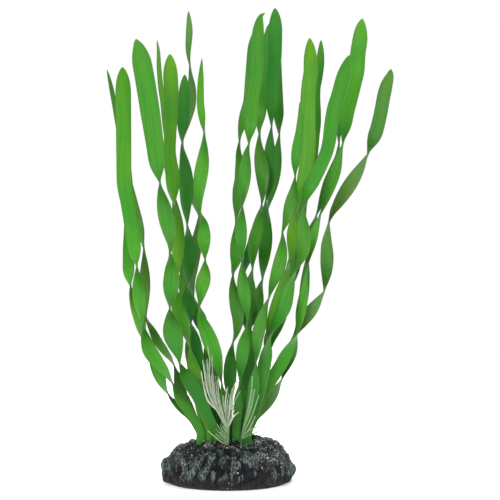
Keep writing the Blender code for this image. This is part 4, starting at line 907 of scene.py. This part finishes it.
def sprig_paths(name):
    """The stem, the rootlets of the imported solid, and finer strands between its neighbours."""
    draw = Random(name)
    foot, top = SPRIG_FEET[name], SPRIG_TOPS[name]
    stem = [Vector((*foot, FOOT_END)), Vector((*foot, FOOT_STRAIGHT)), place(*top)]
    radius = STEM_RADII[name]
    paths = [strand(rounded_route(stem), radius, radius * STEM_FLATNESS, STEM_TIP_SHARE,
                    STEM_TONES[name], turn=0.0)]
    routes = [[place(*point) for point in rootlet] for rootlet in SPRIG_ROOTLETS[name]]
    for route in routes:
        tone, turn = draw.uniform(*ROOTLET_TONES[name]), draw.uniform(-ROOTLET_TURN, ROOTLET_TURN)
        paths.append(strand(rounded_route(route), ROOTLET_HALF_WIDTH, ROOTLET_HALF_THICK,
                            ROOTLET_TIP_SHARE, tone, turn))
    for count in range(STRAND_COUNTS[name]):
        line = between_rootlets(draw, routes)
        half_width = draw.uniform(*STRAND_HALF_WIDTHS)
        tone, turn = draw.uniform(*ROOTLET_TONES[name]), draw.uniform(-STRAND_TURN, STRAND_TURN)
        paths.append(strand(line, half_width, STRAND_HALF_THICK, STRAND_TIP_SHARE, tone, turn))
    return paths


BEIGE_GREY = (0.30, 0.28, 0.20, 1.0)


def rootlet_plastic():
    """Pale plastic: green-grey at the stem and whiter towards the tips, with beige-grey clouds."""
    material, tree = new_material("rootlet_plastic")
    place_in_sprig = tree.node("ShaderNodeTexCoord", {}, {}, "Object")
    cloud = tree.noise(place_in_sprig, scale=260.0, detail=2.0)
    pale = tree.node("ShaderNodeValToRGB", {"stops": [
        (0.0, (0.025, 0.095, 0.028)), (0.22, (0.12, 0.29, 0.09)), (0.40, (0.24, 0.37, 0.20)),
        (0.60, (0.38, 0.45, 0.33)), (0.82, (0.56, 0.60, 0.50)), (1.0, (0.78, 0.80, 0.74))]},
        {"Fac": tree.attribute("tone")}, "Color")
    clouded = tree.colour_mix(pale, BEIGE_GREY, cloud.between(0.5, 0.72) * 0.6)
    tree.plastic(clouded, roughness=0.5, shine=0.3)
    return material


pale_plastic = rootlet_plastic()
for name in SPRIG_FEET:
    sprig = sweep(name + "_rootlets", sprig_paths(name),
                  {"Section points": 8, "Trough": 0.0, "Vein rise": 0.0, "Veins": 1.0},
                  pale_plastic)
    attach(sprig, "root")
    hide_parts(name)


# A round white table in a white room, lit by two soft lamps in front and one behind. The camera
# sees the room as pure white. It stands level and straight on, at half the plant's height.

TABLE_RADIUS = 0.9
TABLE_GLOW = 0.45


def white_table():
    top = bmesh.new()
    bmesh.ops.create_circle(top, cap_ends=True, segments=96, radius=TABLE_RADIUS)
    mesh = bpy.data.meshes.new("table")
    top.to_mesh(mesh)
    top.free()
    material, tree = new_material("white_table")
    tree.plastic((0.95, 0.95, 0.95, 1.0), roughness=0.8, shine=0.1,
                 Emission_Color=(1.0, 1.0, 1.0, 1.0), Emission_Strength=TABLE_GLOW)
    mesh.materials.append(material)
    return add_piece("table", mesh)


white_table()


def soft_lamp(name, place, aim, width, watts):
    lamp = bpy.data.lights.new(name, "AREA")
    lamp.shape, lamp.size, lamp.energy = "SQUARE", width, watts
    thing = bpy.data.objects.new(name, lamp)
    bpy.context.scene.collection.objects.link(thing)
    thing.location = place
    thing.rotation_euler = (Vector(aim) - Vector(place)).to_track_quat("-Z", "Y").to_euler()


PLANT_MIDDLE = (0.0, 0.0, 0.14)
soft_lamp("lamp_front_left", (-0.7, -1.4, 0.9), PLANT_MIDDLE, width=0.8, watts=16.0)
soft_lamp("lamp_front_right", (1.2, -1.1, 0.8), PLANT_MIDDLE, width=0.8, watts=6.0)
soft_lamp("lamp_back", (0.2, 1.1, 1.6), PLANT_MIDDLE, width=1.0, watts=24.0)


ROOM_LIGHT = 0.55


def white_room():
    """White to the camera, and a softer white as light on the plant."""
    world = bpy.data.worlds.new("white_room")
    world.use_nodes = True
    tree = Tree(world.node_tree)
    seen = tree.node("ShaderNodeLightPath", {}, {}, "Is Camera Ray")
    room = tree.node("ShaderNodeBackground", {}, {
        "Color": (1.0, 1.0, 1.0, 1.0), "Strength": ROOM_LIGHT + seen * (1.0 - ROOM_LIGHT)})
    tree.node("ShaderNodeOutputWorld", {}, {"Surface": room})
    return world


bpy.context.scene.world = white_room()
bpy.context.scene.view_settings.view_transform = "Standard"

camera = bpy.data.cameras.new("camera")
camera.sensor_width, camera.lens = 36.0, 96.0
camera.clip_start, camera.clip_end = 0.01, 20.0
eye = bpy.data.objects.new("camera", camera)
eye.location = (EYE_ACROSS * MM, -EYE_DISTANCE * MM, EYE_HEIGHT * MM)
eye.rotation_euler = (pi / 2, 0.0, 0.0)
bpy.context.scene.collection.objects.link(eye)
bpy.context.scene.camera = eye
